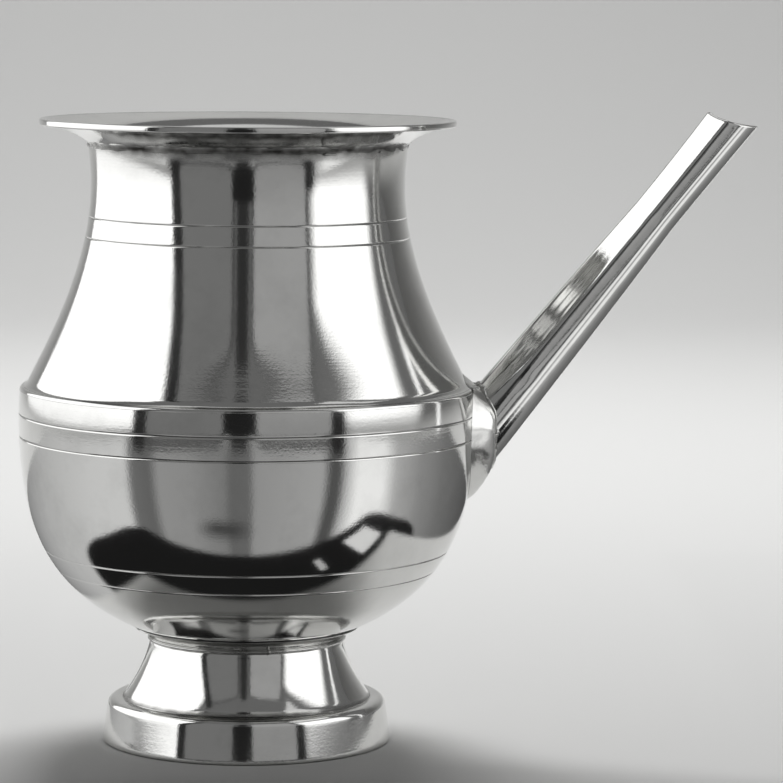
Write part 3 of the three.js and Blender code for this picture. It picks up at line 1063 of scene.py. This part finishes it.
@dataclass
class Spout:
    """The rolled and seamed tube, its saddle on the bowl and the solder between them."""

    drop: float = 12.3
    elevation: float = 51.3
    length: float = 96.4
    root_radius: float = 7.9
    belly_radius: float = 6.6
    waist_radius: float = 5.4
    waist_length: float = 68.0
    mouth_radius: float = 5.85
    wall: float = 1.0
    hole_ledge: float = 1.2
    mouth_slant: float = 21.8
    mouth_scoop: float = 24.0
    mouth_reach: float = 18.0
    seam_bearing: float = -62.0
    seam_width: float = 0.35
    seam_depth: float = 0.12
    unroundness: float = 0.09
    lobes: tuple[float, float] = (3.4, 0.014)  # how fast that changes round the tube and along it
    flat_bearing: float = -138.0
    flat_half: float = 31.0
    flat_soft: float = 0.34
    flat_limit: float = 70.0
    flat_start: float = 6.0
    flat_run: float = 22.0
    dent: float = 0.6
    dent_length: float = 7.5
    dent_start: float = 12.0  # the dents deepen from here
    dent_run: float = 8.0
    saddle_thickness: float = 5.0
    saddle_depth: float = 27.6
    saddle_overlap: float = 3.0
    saddle_half_width: float = 12.6
    saddle_lean: float = 33.0
    saddle_top_lean: float = 24.0  # how much more the edge leans at the top
    saddle_middle: float = 0.58  # the share of its height at which the shield is widest
    saddle_powers: tuple[float, float] = (2.0, 1.6)  # how full its outline is above and below that
    saddle_swing: tuple[float, float] = (0.06, 0.44)  # terms of the curve from its tip to its middle
    saddle_round: float = 1.7
    saddle_edge: float = 0.6
    film: float = 0.03
    bead_radius: float = 0.4
    bead_swell: float = 0.5  # the share of its radius by which the bead swells and thins
    bead_run: float = 0.22  # how fast it does, from facet to facet
    facets: int = 120
    root_span: tuple[float, float] = (-14.0, 26.0)  # the stretch in which the tube leaves the saddle
    halvings: int = 22  # how often that stretch is halved to find the place
    drops: tuple[SolderDrop, ...] = (
        SolderDrop(214, 1.8, 1.5),
        SolderDrop(291, 1.4, 1.5),
        SolderDrop(190, 2.2, 1.0),
    )

    def axis(self, bowl: Bowl) -> TurningAxis:
        """Returns the spout's own axis, from the bowl's side to the mouth."""
        height = bowl.mouth_level - self.drop
        foot = Vector((VESSEL_X + bowl.radius_at(height) * MM, 0, height * MM))
        return TurningAxis(foot, 90 - self.elevation, self.facets)

    @property
    def start(self) -> float:
        """How far inside the bowl's side the tube is begun before it is cut off."""
        return 2.1 * self.root_radius

    @cached_property
    def side(self) -> list[Point]:
        """The tube's outside, heights along its own axis from the bowl's side."""
        waist = (self.waist_radius, self.waist_length)
        low = [(self.root_radius, -self.start), (self.belly_radius, self.waist_length * 0.58), waist]
        bend = (self.waist_length + self.length) / 2
        high = [waist, (self.waist_radius, bend), (self.mouth_radius, self.length)]
        return evened(bezier(low, 90) + bezier(high, 40)[1:], 1.0)

    def bore(self, axis: TurningAxis) -> Object:
        """Returns the rod that makes the hole in the bowl."""
        radius, reach = self.root_radius - self.wall - self.hole_ledge, 1.5 * self.start
        outline = [(0.0, -reach), (radius, -reach), (radius, reach), (0.0, reach)]
        return axis.turn("bore", outline, closed=False)

    def rod(self, axis: TurningAxis) -> Object:
        """Returns a solid rod that fills the tube and the solder film on it."""
        side = [(r + self.film, h) for r, h in self.side]
        return axis.turn("rod", [(0.0, side[0][1]), *side, (0.0, side[-1][1])], closed=False)

    def body(self, bowl: Bowl, neck: Neck) -> Object:
        """Returns the bowl and shoulder as one solid, grown by the thickness of a solder film.

        Args:
            bowl: The bowl.
            neck: The neck.

        Returns:
            The solid.
        """
        top = bowl.mouth_level + self.film
        outline = [
            *inset(bowl.side(), -self.film),
            (bowl.mouth_radius + self.film, top),
            (neck.shoulder_radius + self.film, top),
            *[p for p in inset(neck.side(), -self.film) if p[1] > bowl.mouth_level + 0.6],
            (0.0, neck.top_level),
        ]
        return VESSEL.turn("body", outline, closed=False)

    def tube(self, axis: TurningAxis) -> Object:
        """Turns the tube, then gives it its seam, its slight flats and its slanting scooped mouth.

        Args:
            axis: The spout's axis.

        Returns:
            The tube, which still runs into the bowl.
        """
        lip, slant, seam = self.wall / 2, math.radians(self.mouth_slant), math.radians(self.seam_bearing)
        outside = [p for p in self.side if p[1] < self.length - lip]
        inside = [(r - self.wall, h) for r, h in outside[::2]][::-1]
        edge = arc((self.mouth_radius - lip, self.length - lip), lip, 0, 180, 10)
        piece = axis.spin("spout_tube_smooth", [*outside, *edge, *inside])
        scoop_x, scoop_top = -self.mouth_scoop * math.sin(slant), self.mouth_scoop * math.cos(slant)
        lobe, lobe_run = self.lobes
        for vertex in piece.data.vertices:
            x, y, height = (v / MM for v in vertex.co)
            bearing, radius, round_radius = math.atan2(y, x), math.hypot(x, y), read_off(self.side, height)
            sunk = self.flat_depth(bearing, height, round_radius)
            if radius > round_radius - self.wall / 4:
                across = ((bearing - seam + math.pi) % math.tau - math.pi) * radius
                where = Vector((math.cos(bearing) * lobe, math.sin(bearing) * lobe, height * lobe_run))
                sunk += self.unroundness * (1 + noise.noise(where))
                sunk += self.seam_depth * max(0.0, 1 - abs(across) / self.seam_width)
            cut = scoop_top - math.sqrt(self.mouth_scoop**2 - (x - scoop_x) ** 2)
            cut *= eased(ramp(height, self.length - self.mouth_reach, self.mouth_reach))
            vertex.co += Vector((-math.cos(bearing) * sunk * MM, -math.sin(bearing) * sunk * MM, cut * MM))
        return settled(piece, axis.stand)

    def flat_depth(self, bearing: float, height: float, radius: float) -> float:
        """Returns how far the tube's upper side is planished flat or dented at a place.

        Args:
            bearing: The place's bearing round the tube in radians.
            height: Its distance along the tube.
            radius: The tube's radius there.

        Returns:
            The depth.
        """
        share = eased(ramp(height, self.flat_start, self.flat_run))
        off = (bearing - math.radians(self.flat_bearing) + math.pi) % math.tau - math.pi
        fade = ramp(math.radians(self.flat_limit) - abs(off), 0.0, 0.5)
        if not fade:
            return 0.0
        # a smooth maximum of the cut and nothing, so that the flat's edges are soft
        cut = radius * (1 - math.cos(math.radians(self.flat_half)) / math.cos(off))
        soft = max(0.0, (cut + math.hypot(cut, self.flat_soft)) / 2 - self.flat_soft / 4)
        lumps = noise.noise(Vector((off * 1.2, height / self.dent_length, 3.0)))
        dent = self.dent * max(0.0, lumps) * (1 - share) * ramp(height, self.dent_start, self.dent_run)
        return fade * (soft * share + dent)

    def bead_path(self, saddle: "Saddle", axis: TurningAxis) -> list[Point]:
        """Finds where the tube comes out of the saddle.

        Args:
            saddle: The saddle.
            axis: The spout's axis.

        Returns:
            Radius and distance along the tube, at as many places round it as it has facets.
        """
        path = []
        for i in range(self.facets):
            low, high = self.root_span
            for _ in range(self.halvings):
                middle = (low + high) / 2
                place = axis.stand @ about(math.tau * i / self.facets, read_off(self.side, middle), middle)
                if saddle.clears((place.x - VESSEL_X) / MM, place.y / MM, place.z / MM):
                    high = middle
                else:
                    low = middle
            path.append((read_off(self.side, high), high))
        return path

    def root_bead(self, axis: TurningAxis, saddle: "Saddle") -> Object:
        """Lays the solder where the tube leaves the saddle, with drops that stand out.

        Args:
            axis: The spout's axis.
            saddle: The saddle.

        Returns:
            The bead.
        """
        around, thin = self.facets, 0.25
        path = self.bead_path(saddle, axis)
        shape = {"major_segments": around, "minor_segments": 10, "major_radius": 1.0, "minor_radius": thin}
        ring = begun(bpy.ops.mesh.primitive_torus_add, "spout_bead", Matrix(), **shape)
        for vertex in ring.data.vertices:
            x, y, z = vertex.co
            k = round(math.atan2(y, x) / math.tau * around) % around
            swell = self.bead_swell * noise.noise(Vector((k * self.bead_run, 0, 0)))
            thick = self.bead_radius * (1 + swell) / thin
            radius = path[k][0] + 0.05 + (math.hypot(x, y) - 1.0) * thick
            vertex.co = about(math.tau * k / around, radius, path[k][1] + 0.1 + z * thick)
        drops = []
        for drop in self.drops:
            radius, level = path[round(drop.bearing / 360 * around) % around]
            drops.append(drop.build(radius + 0.3, level + 0.35))
        piece = settled(joined([ring, *drops]), axis.stand)
        uneven(piece, 0.3, 1.5, 2.0)
        return piece

    def build(self, finishes: Finishes, bowl: Bowl, neck: Neck) -> None:
        """Builds and dresses the spout, its saddle and its solder.

        Args:
            finishes: The materials.
            bowl: The bowl.
            neck: The neck.
        """
        axis = self.axis(bowl)
        tube = self.tube(axis)
        cut_away(tube, self.body(bowl, neck))
        finish(tube, "spout_tube", Slot.METAL, finishes.spout, finishes.inside, axis.faces)
        saddle = Saddle(self, bowl, neck)
        plate = saddle.plate()
        uneven(plate, 0.12, 3.0, 5.0)
        cut_away(plate, self.body(bowl, neck))
        cut_away(plate, self.rod(axis))
        finish(plate, "spout_saddle", Slot.METAL, finishes.filed)
        finish(self.root_bead(axis, saddle), "spout_solder", Slot.SOLDER, finishes.solder)


class Saddle:
    """The shield-shaped plate that carries the spout on the bowl's side.

    Its shape is a height over the shield: the plate's front follows the bowl at a distance, and its edge
    leans back to the bowl all round.
    """

    def __init__(self, spout: Spout, bowl: Bowl, neck: Neck) -> None:
        """Takes the sizes that the plate needs.

        Args:
            spout: The spout that it carries.
            bowl: The bowl that it sits on.
            neck: The neck that its top meets.
        """
        self.spout = spout
        self.low = bowl.mouth_level - spout.saddle_depth
        self.high = bowl.mouth_level + spout.saddle_overlap
        self.middle = self.low + (self.high - self.low) * spout.saddle_middle
        self.body_radius = bowl.radius
        self.body_side = bowl.side(CLOSE_PITCH) + neck.side(CLOSE_PITCH)
        self.tip_radius = bowl.radius_at(self.low) + spout.saddle_edge
        self.reach = bowl.radius + spout.saddle_thickness

    def outline_distance(self, turn: float) -> float:
        """Returns how far the shield's outline is from its middle in a direction.

        Args:
            turn: The direction in radians, upwards at a quarter turn.

        Returns:
            The distance.
        """
        rising = math.sin(turn) > 0
        tall = self.high - self.middle if rising else self.middle - self.low
        power = self.spout.saddle_powers[0 if rising else 1]
        across, along = abs(math.cos(turn)) / self.spout.saddle_half_width, abs(math.sin(turn)) / tall
        return (across**power + along**power) ** (-1 / power)

    def front(self, y: float, z: float) -> float:
        """Returns the distance of the plate's front from the vessel's axis, its edge left out.

        Args:
            y: The place across the vessel.
            z: The height.

        Returns:
            The distance.
        """
        share = (z - self.low) / (self.high - self.low)
        radius = self.reach
        if share < 0.5:
            # the lower half swings in to the tip on a quadratic curve, solved here for its height
            a, b, c = *self.spout.saddle_swing, -max(share, 0.0)
            t = (-b + math.sqrt(b * b - 4 * a * c)) / (2 * a)
            radius -= (1 - t) ** 2 * (self.reach - self.tip_radius)
        return math.sqrt(radius * radius - y * y)

    def sunk(self, inwards: float, turn: float, z: float) -> float:
        """Returns how far the leaning edge lies behind the front.

        Args:
            inwards: Distance from the outline.
            turn: The direction from the shield's middle.
            z: The height.

        Returns:
            The distance.
        """
        rising = max(0.0, math.sin(turn)) ** 2
        lean = math.tan(math.radians(self.spout.saddle_lean + self.spout.saddle_top_lean * rising))
        thickness = max(0.3, self.front(0.0, z) - read_off(self.body_side, z) + 0.1)
        soft = min(self.spout.saddle_round * (1 + 0.5 * rising), thickness / 2)
        straight = (thickness - soft) * lean
        if inwards < straight:
            return thickness - inwards / lean
        return soft * (1 - ramp(inwards, straight, 2 * soft * lean)) ** 2

    def clears(self, x: float, y: float, z: float) -> bool:
        """Says whether a place is outside the plate and the bowl behind it.

        Args:
            x: The place's distance from the vessel's axis towards the spout.
            y: Its distance across the vessel.
            z: Its height.

        Returns:
            Whether it is outside.
        """
        turn = math.atan2(z - self.middle, y)
        inwards = self.outline_distance(turn) - math.hypot(y, z - self.middle)
        if inwards < 0:
            return z > self.middle or math.hypot(x, y) > self.body_radius
        return x > self.front(y, z) - self.sunk(inwards, turn, z)

    def plate(self) -> Object:
        """Wraps a sheet over the shield and closes it behind, still running into bowl and tube."""
        around, rings = 160, 34
        shape = {"x_subdivisions": around, "y_subdivisions": rings, "size": 2}
        piece = begun(bpy.ops.mesh.primitive_grid_add, "saddle_smooth", Matrix(), **shape)
        for vertex in piece.data.vertices:
            turn = math.tau * round((vertex.co.x + 1) / 2 * around) / around
            ring = round((vertex.co.y + 1) / 2 * rings)
            outline = self.outline_distance(turn)
            inwards = outline * (max(ring - 1, 0) / (rings - 1)) ** 1.4
            y = math.cos(turn) * (outline - inwards)
            z = self.middle + math.sin(turn) * (outline - inwards)
            behind = self.spout.saddle_thickness if ring == 0 else 0.0
            x = self.front(y, z) - self.sunk(inwards, turn, z) - behind
            vertex.co = (VESSEL_X + x * MM, y * MM, z * MM)
        heal(piece, 0.01)
        with editing(piece):
            bpy.ops.mesh.select_all(action="DESELECT")
            bpy.ops.mesh.select_non_manifold()
            bpy.ops.mesh.edge_face_add()
        heal(piece)
        return piece


# Studio; sizes in metres


def rounded(
    node: Adder, place: NodeSocket, across: Point, ahead: Point, corner: float, soft: float
) -> NodeSocket:
    """Draws a rectangle with rounded corners and blurred edges.

    Args:
        node: Adds a node to the material.
        place: The coordinates.
        across: Where the rectangle begins and ends in the first of them.
        ahead: Where it begins and ends in the second.
        corner: The radius of its corners.
        soft: The width of its blurred edge.

    Returns:
        A socket that is 1 inside and 0 outside.
    """
    (middle_x, half_x), (middle_y, half_y) = (((a + b) / 2, (b - a) / 2) for a, b in (across, ahead))
    corner = min(corner, half_x, half_y)
    for kind, amount in (
        ("SUBTRACT", (middle_x, middle_y, 0.0)),
        ("MULTIPLY", (1.0, 1.0, 0.0)),
        ("ABSOLUTE", (0.0, 0.0, 0.0)),
        ("SUBTRACT", (half_x - corner, half_y - corner, 0.0)),
        ("MAXIMUM", (0.0, 0.0, 0.0)),
    ):
        place = node("VectorMath", {0: place, 1: amount}, operation=kind)[0]
    away = node("VectorMath", {0: place}, operation="LENGTH")["Value"]
    steps = {0: away, 1: corner - soft, 2: corner, 3: 1.0, 4: 0.0}
    return node("MapRange", steps, interpolation_type="SMOOTHSTEP")[0]


@dataclass(kw_only=True)
class Sheet:
    """A sheet near the vessel that mirrors see and the camera doesn't.

    Each glows at its level, a painted reflection: a bright one of diffusing cloth with lamps behind it, a
    grey one of plain card and a dark one of black felt.
    """

    name: str
    level: float  # how bright it is, where 1 is white
    low_level: float | None = None  # how bright its lower edge is
    soft: float = 0.01  # width of its blurred edge
    frame: float = 0.0  # width of its dark frame
    corner: float = 0.04  # radius of its corners
    fade: float = 0.35  # the share of its height over which the low level rises to the full one

    def size(self) -> tuple[float, float]:
        """Returns width and height."""
        raise NotImplementedError

    def stand(self) -> Matrix:
        """Returns where the sheet's middle is and how it is turned."""
        raise NotImplementedError

    def glow(self, node: Adder) -> tuple[NodeSocket, NodeSocket]:
        """Returns the sheet's level and its cover, which is 1 on it and 0 beside it.

        Args:
            node: Adds a node to the material.

        Returns:
            The two sockets.
        """
        width, height = self.size()
        place = node("TexCoord")["UV"]
        own = node("VectorMath", {0: place, 1: (width, height, 0.0)}, operation="MULTIPLY")[0]
        cover = rounded(node, own, (0.0, width), (0.0, height), self.corner, self.soft)
        low_level = self.level if self.low_level is None else self.low_level
        steps = {0: node("SeparateXYZ", {0: place})[1], 1: 0.0, 2: self.fade, 3: low_level, 4: self.level}
        level = node("MapRange", steps, interpolation_type="SMOOTHSTEP")[0]
        if self.frame:
            inner = (self.frame, width - self.frame), (self.frame, height - self.frame)
            pane = rounded(node, own, *inner, self.corner - self.frame, self.soft)
            level = node("Math", {0: level, 1: pane}, operation="MULTIPLY")[0]
        return level, cover

    def build(self) -> None:
        """Sets the sheet up, so that only mirrors see it."""
        material, node = blank(self.name)
        level, cover = self.glow(node)
        shine = node("Emission", {"Strength": level})[0]
        clear = node("BsdfTransparent")[0]
        node("OutputMaterial", {"Surface": node("MixShader", {0: cover, 1: clear, 2: shine})[0]})
        place = self.stand() @ Matrix.Diagonal((*self.size(), 1, 1))
        sheet = begun(bpy.ops.mesh.primitive_plane_add, self.name, place, size=1)
        sheet.data.materials.append(material)
        sheet.visible_camera = sheet.visible_diffuse = sheet.visible_shadow = False


@dataclass(kw_only=True)
class Card(Sheet):
    """An upright sheet."""

    bearings: Point  # where it begins and ends, in degrees from the camera's side round towards the spout
    elevations: Point  # where its lower and upper edges are, in degrees seen from the vessel
    distance: float = 0.5  # from the vessel's axis
    eye_height: float = 0.1  # the height that the elevations are seen from
    lean: float = 0.0  # degrees towards smaller bearings at its top

    def size(self) -> tuple[float, float]:
        """Returns width and height."""
        low, high = self.reach()
        spread = math.radians(self.bearings[1] - self.bearings[0])
        return 2 * self.distance * math.tan(spread / 2), high - low

    def reach(self) -> Point:
        """Returns the heights of the lower and upper edges."""
        low, high = (self.eye_height + self.distance * math.tan(math.radians(e)) for e in self.elevations)
        return max(low, 0.001), high

    def stand(self) -> Matrix:
        """Returns where the sheet stands."""
        bearing = math.radians(sum(self.bearings) / 2)
        place = Vector((math.sin(bearing), -math.cos(bearing), 0)) * self.distance
        place += Vector((VESSEL_X, 0, sum(self.reach()) / 2))
        turn = Euler((math.radians(90), 0, bearing + math.pi)).to_matrix().to_4x4()
        return Matrix.Translation(place) @ turn @ Matrix.Rotation(math.radians(self.lean), 4, "Z")


@dataclass(kw_only=True)
class TableCard(Sheet):
    """A sheet that lies level."""

    across: Point  # where it begins and ends, from the vessel's axis towards the spout
    ahead: Point  # where it begins and ends, from the axis towards the camera
    rise: float = 0.002  # its height

    def size(self) -> tuple[float, float]:
        """Returns width and depth."""
        return self.across[1] - self.across[0], self.ahead[1] - self.ahead[0]

    def stand(self) -> Matrix:
        """Returns where the sheet lies."""
        return Matrix.Translation((VESSEL_X + sum(self.across) / 2, -sum(self.ahead) / 2, self.rise))


@dataclass(kw_only=True)
class Fan(TableCard):
    """A glowing sheet on the floor that the metal sees in place of the pale floor, a painted reflection of
    cards fanned out below the upright ones, grey by bearing, with a dark patch for black felt over their
    near ends.
    """

    hub: float  # how far ahead of the vessel's axis their edges meet
    levels: Sequence[Point]  # bearings in degrees and the level at each
    felt: tuple[Point, Point]  # the span across and ahead of the dark patch, a painted dark reflection of the floor in front of the foot
    bare: tuple[Point, Point]  # the span in which the floor stays bare, because the camera sees it
    rise: float = 0.001
    dark: float = 0.03  # how bright the painted reflection of the floor is behind the vessel
    felt_level: float = 0.012

    def glow(self, node: Adder) -> tuple[NodeSocket, NodeSocket]:
        """Returns the level by bearing, black on the felt, and the cover without the bare floor.

        Args:
            node: Adds a node to the material.

        Returns:
            The two sockets.
        """
        place = {"Vector": node("TexCoord")["Object"], "Location": (-VESSEL_X, 0, 0), "Scale": (1, -1, 1)}
        own = node("Mapping", place)[0]
        x, y, _ = node("SeparateXYZ", {0: own})
        ahead = node("Math", {0: y, 1: self.hub}, operation="SUBTRACT")[0]
        bearing = node("Math", {0: x, 1: ahead}, operation="ARCTAN2")[0]
        share = node("Math", {0: bearing, 1: 1 / math.tau, 2: 0.5}, operation="MULTIPLY_ADD")[0]
        level = node("ValToRGB", {0: share})[0]
        stops = level.node.color_ramp.elements
        for degrees, grey in self.levels:
            stops.new(degrees / 360 + 0.5).color = (grey, grey, grey, 1)
        stops[0].color = stops[len(stops) - 1].color = (self.dark, self.dark, self.dark, 1)
        papers, cover = (
            node("Math", {0: 1.0, 1: rounded(node, own, *span, corner, self.soft)}, operation="SUBTRACT")[0]
            for span, corner in ((self.felt, 0.03), (self.bare, 0.01))
        )
        sums = {0: level, 1: papers, 2: self.felt_level}
        return node("Math", sums, operation="MULTIPLY_ADD")[0], cover


@dataclass
class Lamp:
    """A softbox that lights floor and backdrop, and isn't mirrored."""

    name: str
    place: Place  # from the foot of the vessel's axis
    aim: Place  # what it points at, likewise
    size: tuple[float, float]
    power: float  # in watts

    def build(self) -> None:
        """Hangs the lamp."""
        data = bpy.data.lights.new(self.name, "AREA")
        data.shape, data.energy = "RECTANGLE", self.power
        data.size, data.size_y = self.size
        lamp = bpy.data.objects.new(self.name, data)
        lamp.location = Vector(self.place) + Vector((VESSEL_X, 0, 0))
        lamp.rotation_mode = "QUATERNION"
        lamp.rotation_quaternion = (Vector(self.aim) - Vector(self.place)).to_track_quat("-Z", "Y")
        lamp.visible_camera = lamp.visible_glossy = False
        bpy.context.scene.collection.objects.link(lamp)


@dataclass
class Studio:
    """Pale floor and sweep, cards, lamps and the camera of the photograph."""

    lens: float = 179.0
    sensor: float = 36.0
    camera_height: float = 182.6 * MM
    camera_distance: float = 921.0 * MM
    aim: Place = (2.13, 6.135, 0.4)  # yaw, pitch and roll in degrees
    floor_colour: str = "#D9D9D8"
    room_level: float = 0.15
    floor_half: tuple[float, float] = (3.0, 2.3)
    floor_back: float = 1.8
    sweep_height: float = 1.4
    sweep_radius: float = 0.7

    def camera(self) -> None:
        """Places the camera where the ellipses of the vessel's rings put it."""
        data = bpy.data.cameras.new("camera")
        data.sensor_width, data.lens = self.sensor, self.lens
        camera = bpy.data.objects.new("camera", data)
        bpy.context.scene.collection.objects.link(camera)
        yaw, pitch, roll = (math.radians(a) for a in self.aim)
        level = math.cos(pitch)
        forward = Vector((math.sin(yaw) * level, math.cos(yaw) * level, -math.sin(pitch)))
        right = forward.cross(Vector((0, 0, 1))).normalized()
        up = right.cross(forward)
        side = math.cos(roll) * right + math.sin(roll) * up
        top = -math.sin(roll) * right + math.cos(roll) * up
        turn = Matrix((side, top, -forward)).transposed().to_4x4()
        place = Matrix.Translation((VESSEL_X, -self.camera_distance, self.camera_height))
        camera.matrix_world = place @ turn
        bpy.context.scene.camera = camera

    def floor(self) -> None:
        """Lays the pale floor and curves it up behind."""
        half_x, half_y = self.floor_half
        middle = Matrix.Translation((0, self.floor_back - half_y, 0))
        place = middle @ Matrix.Diagonal((half_x, half_y, 1, 1))
        floor = begun(bpy.ops.mesh.primitive_plane_add, "floor", place, size=2)
        rise = {"value": (0, 0, self.sweep_height)}
        for bend, settings in (
            (bpy.ops.mesh.extrude_region_move, {"TRANSFORM_OT_translate": rise}),
            (bpy.ops.mesh.bevel, {"offset": self.sweep_radius, "segments": 24}),
        ):
            with editing(floor):
                bpy.ops.mesh.select_mode(type="EDGE")
                bpy.ops.mesh.select_all(action="DESELECT")
            for edge in floor.data.edges:
                ends = [floor.data.vertices[v].co for v in edge.vertices]
                edge.select = all(p.y > self.floor_back - 0.01 and p.z < 0.01 for p in ends)
            bpy.ops.object.mode_set(mode="EDIT")
            bend(**settings)
            bpy.ops.object.mode_set(mode="OBJECT")
        bpy.ops.object.shade_smooth()
        material, node = blank("seamless_paper")
        paper = {"Base Color": linear(self.floor_colour), "Roughness": 0.9}
        node("OutputMaterial", {"Surface": node("BsdfPrincipled", paper)[0]})
        floor.data.materials.append(material)

    def cards(self) -> None:
        """Sets glowing sheets round the vessel, painted reflections that only the polished metal sees, so
        that it mirrors what the real one did.
        """
        for sheet in (
            Card(
                name="left_softbox", bearings=(-144, -47), elevations=(-16, 52), distance=0.66,
                level=1.45, low_level=1.1, soft=0.03, corner=0.12, fade=0.12,
            ),
            Card(
                name="right_softbox", bearings=(42, 98), elevations=(-16, 40), distance=0.6,
                level=1.5, low_level=1.0, soft=0.1, corner=0.14, fade=0.15,
            ),
            Card(
                name="right_upper_softbox", bearings=(48, 100), elevations=(43.5, 58), distance=0.6,
                level=0.7, soft=0.03, corner=0.06,
            ),
            Card(name="right_strip", bearings=(104.5, 108.5), elevations=(-10, 30), distance=0.6, level=1.3),
            Card(
                name="left_pane", bearings=(-51.5, -9), elevations=(-30, 44.2),
                level=0.19, frame=0.012, corner=0.06,
            ),
            Card(
                name="right_pane", bearings=(2, 42.5), elevations=(-30, 44.0),
                level=0.38, low_level=0.3, frame=0.012, corner=0.06,
            ),
            Card(
                name="left_felt", bearings=(-52.5, -45), elevations=(-30, 46), distance=0.49,
                level=0.02, soft=0.006, corner=0.02, lean=6,
            ),
            Card(
                name="centre_felt", bearings=(-8.5, 1), elevations=(-30, 44.3), distance=0.48,
                level=0.03, soft=0.012, corner=0.02,
            ),
            Card(
                name="centre_patch", bearings=(-12, 5), elevations=(-9, 6), distance=0.46,
                level=0.015, soft=0.012, corner=0.03,
            ),
            Card(
                name="right_felt", bearings=(39, 47), elevations=(-30, 1), distance=0.46,
                level=0.02, soft=0.012, corner=0.02,
            ),
            Fan(
                name="table_cards", level=1.0, across=(-0.6, 0.6), ahead=(-0.3, 0.62), hub=0.03, soft=0.008,
                levels=(
                    (-150, 0.3), (-125, 0.5), (-100, 0.6), (-85, 0.66), (-64, 0.68), (-60, 0.16),
                    (-50, 0.13), (-45, 0.32), (-30, 0.3), (-12, 0.22), (-9, 0.14), (1, 0.14),
                    (4, 0.32), (38, 0.4), (42, 0.08), (47, 0.08), (51, 0.5), (58, 1.0),
                    (72, 1.0), (80, 0.5), (97, 0.28), (115, 0.18), (150, 0.08),
                ),
                felt=((-0.125, 0.165), (0.0, 0.1)),
                bare=((-0.062, 0.134), (-1.0, 0.05)),
            ),
            TableCard(
                name="table_patch", across=(-0.06, 0.012), ahead=(0.108, 0.165),
                level=0.06, soft=0.03, corner=0.028,
            ),
            TableCard(
                name="white_slip", across=(0.079, 0.12), ahead=(0.054, 0.084),
                level=0.75, corner=0.004, soft=0.003,
            ),
            TableCard(
                name="small_slip", across=(0.044, 0.051), ahead=(0.062, 0.076),
                level=0.9, corner=0.001, soft=0.002,
            ),
            TableCard(
                name="overhead_cloth", across=(-0.45, 0.55), ahead=(-0.75, 0.1), rise=1.1,
                level=0.7, soft=0.1, corner=0.2,
            ),
        ):
            sheet.build()

    def room(self) -> None:
        """Lights the room evenly at a low level, the vessel from behind and the backdrop."""
        Lamp("key", (0.05, 0.55, 1.0), (0, 0.05, 0), (0.5, 0.4), 9.5).build()
        Lamp("backdrop_lamp", (0, 0.75, 1.3), (0, 1.9, 0.3), (1.4, 0.4), 9.0).build()
        world = bpy.data.worlds.new("room")
        world.use_nodes = True
        background = world.node_tree.nodes["Background"]
        background.inputs["Color"].default_value = (1, 1, 1, 1)
        background.inputs["Strength"].default_value = self.room_level
        bpy.context.scene.world = world

    def build(self) -> None:
        """Sets up camera, floor, cards and lamps."""
        bpy.context.scene.view_settings.view_transform = "Standard"
        self.camera()
        self.floor()
        self.cards()
        self.room()


def finishes_for(spout_axis: TurningAxis) -> Finishes:
    """Makes the finishes.

    Args:
        spout_axis: The axis that the spout's finish follows.

    Returns:
        The materials of all the pieces.
    """
    outside = BuffedNickelSilver()
    inside = BuffedNickelSilver(
        "pickled_nickel_silver", colour="#B3B3B0", stain="#8C8C89",
        roughness=0.34, haze=0.12, line_height=0.012,
    )
    spout = BuffedNickelSilver(
        "lengthwise_buffed_nickel_silver", lengthwise=True, wave=14.0, wave_height=0.1, line_height=0.012
    )
    solder = BuffedNickelSilver(
        "soft_solder", colour="#C2C2C0", stain="#8A8A88", roughness=0.2, haze=0.2,
        grain=1.1, grain_height=0.06, line_height=0.0, pit_depth=0.0, scratch_height=0.0,
    )
    filed = BuffedNickelSilver(
        "filed_nickel_silver", roughness=0.2, haze=0.1, grain=0.8, grain_height=0.03, line_height=0.0
    )
    return Finishes(
        outside=outside.build(VESSEL),
        inside=inside.build(VESSEL),
        spout=spout.build(spout_axis),
        solder=solder.build(VESSEL),
        filed=filed.build(VESSEL),
    )


def main() -> None:
    """Builds the vessel piece by piece, then the studio."""
    logging.basicConfig(level=logging.INFO, format="%(name)s: %(message)s")
    bowl, neck, rim, foot, spout = Bowl(), Neck(), Rim(), Foot(), Spout()
    axis = spout.axis(bowl)
    finishes = finishes_for(axis)
    foot.build(finishes, bowl)
    bowl.build(finishes, spout.bore(axis))
    neck.build(finishes)
    rim.build(finishes, neck)
    spout.build(finishes, bowl, neck)
    Studio().build()


if __name__ == "__main__":
    main()
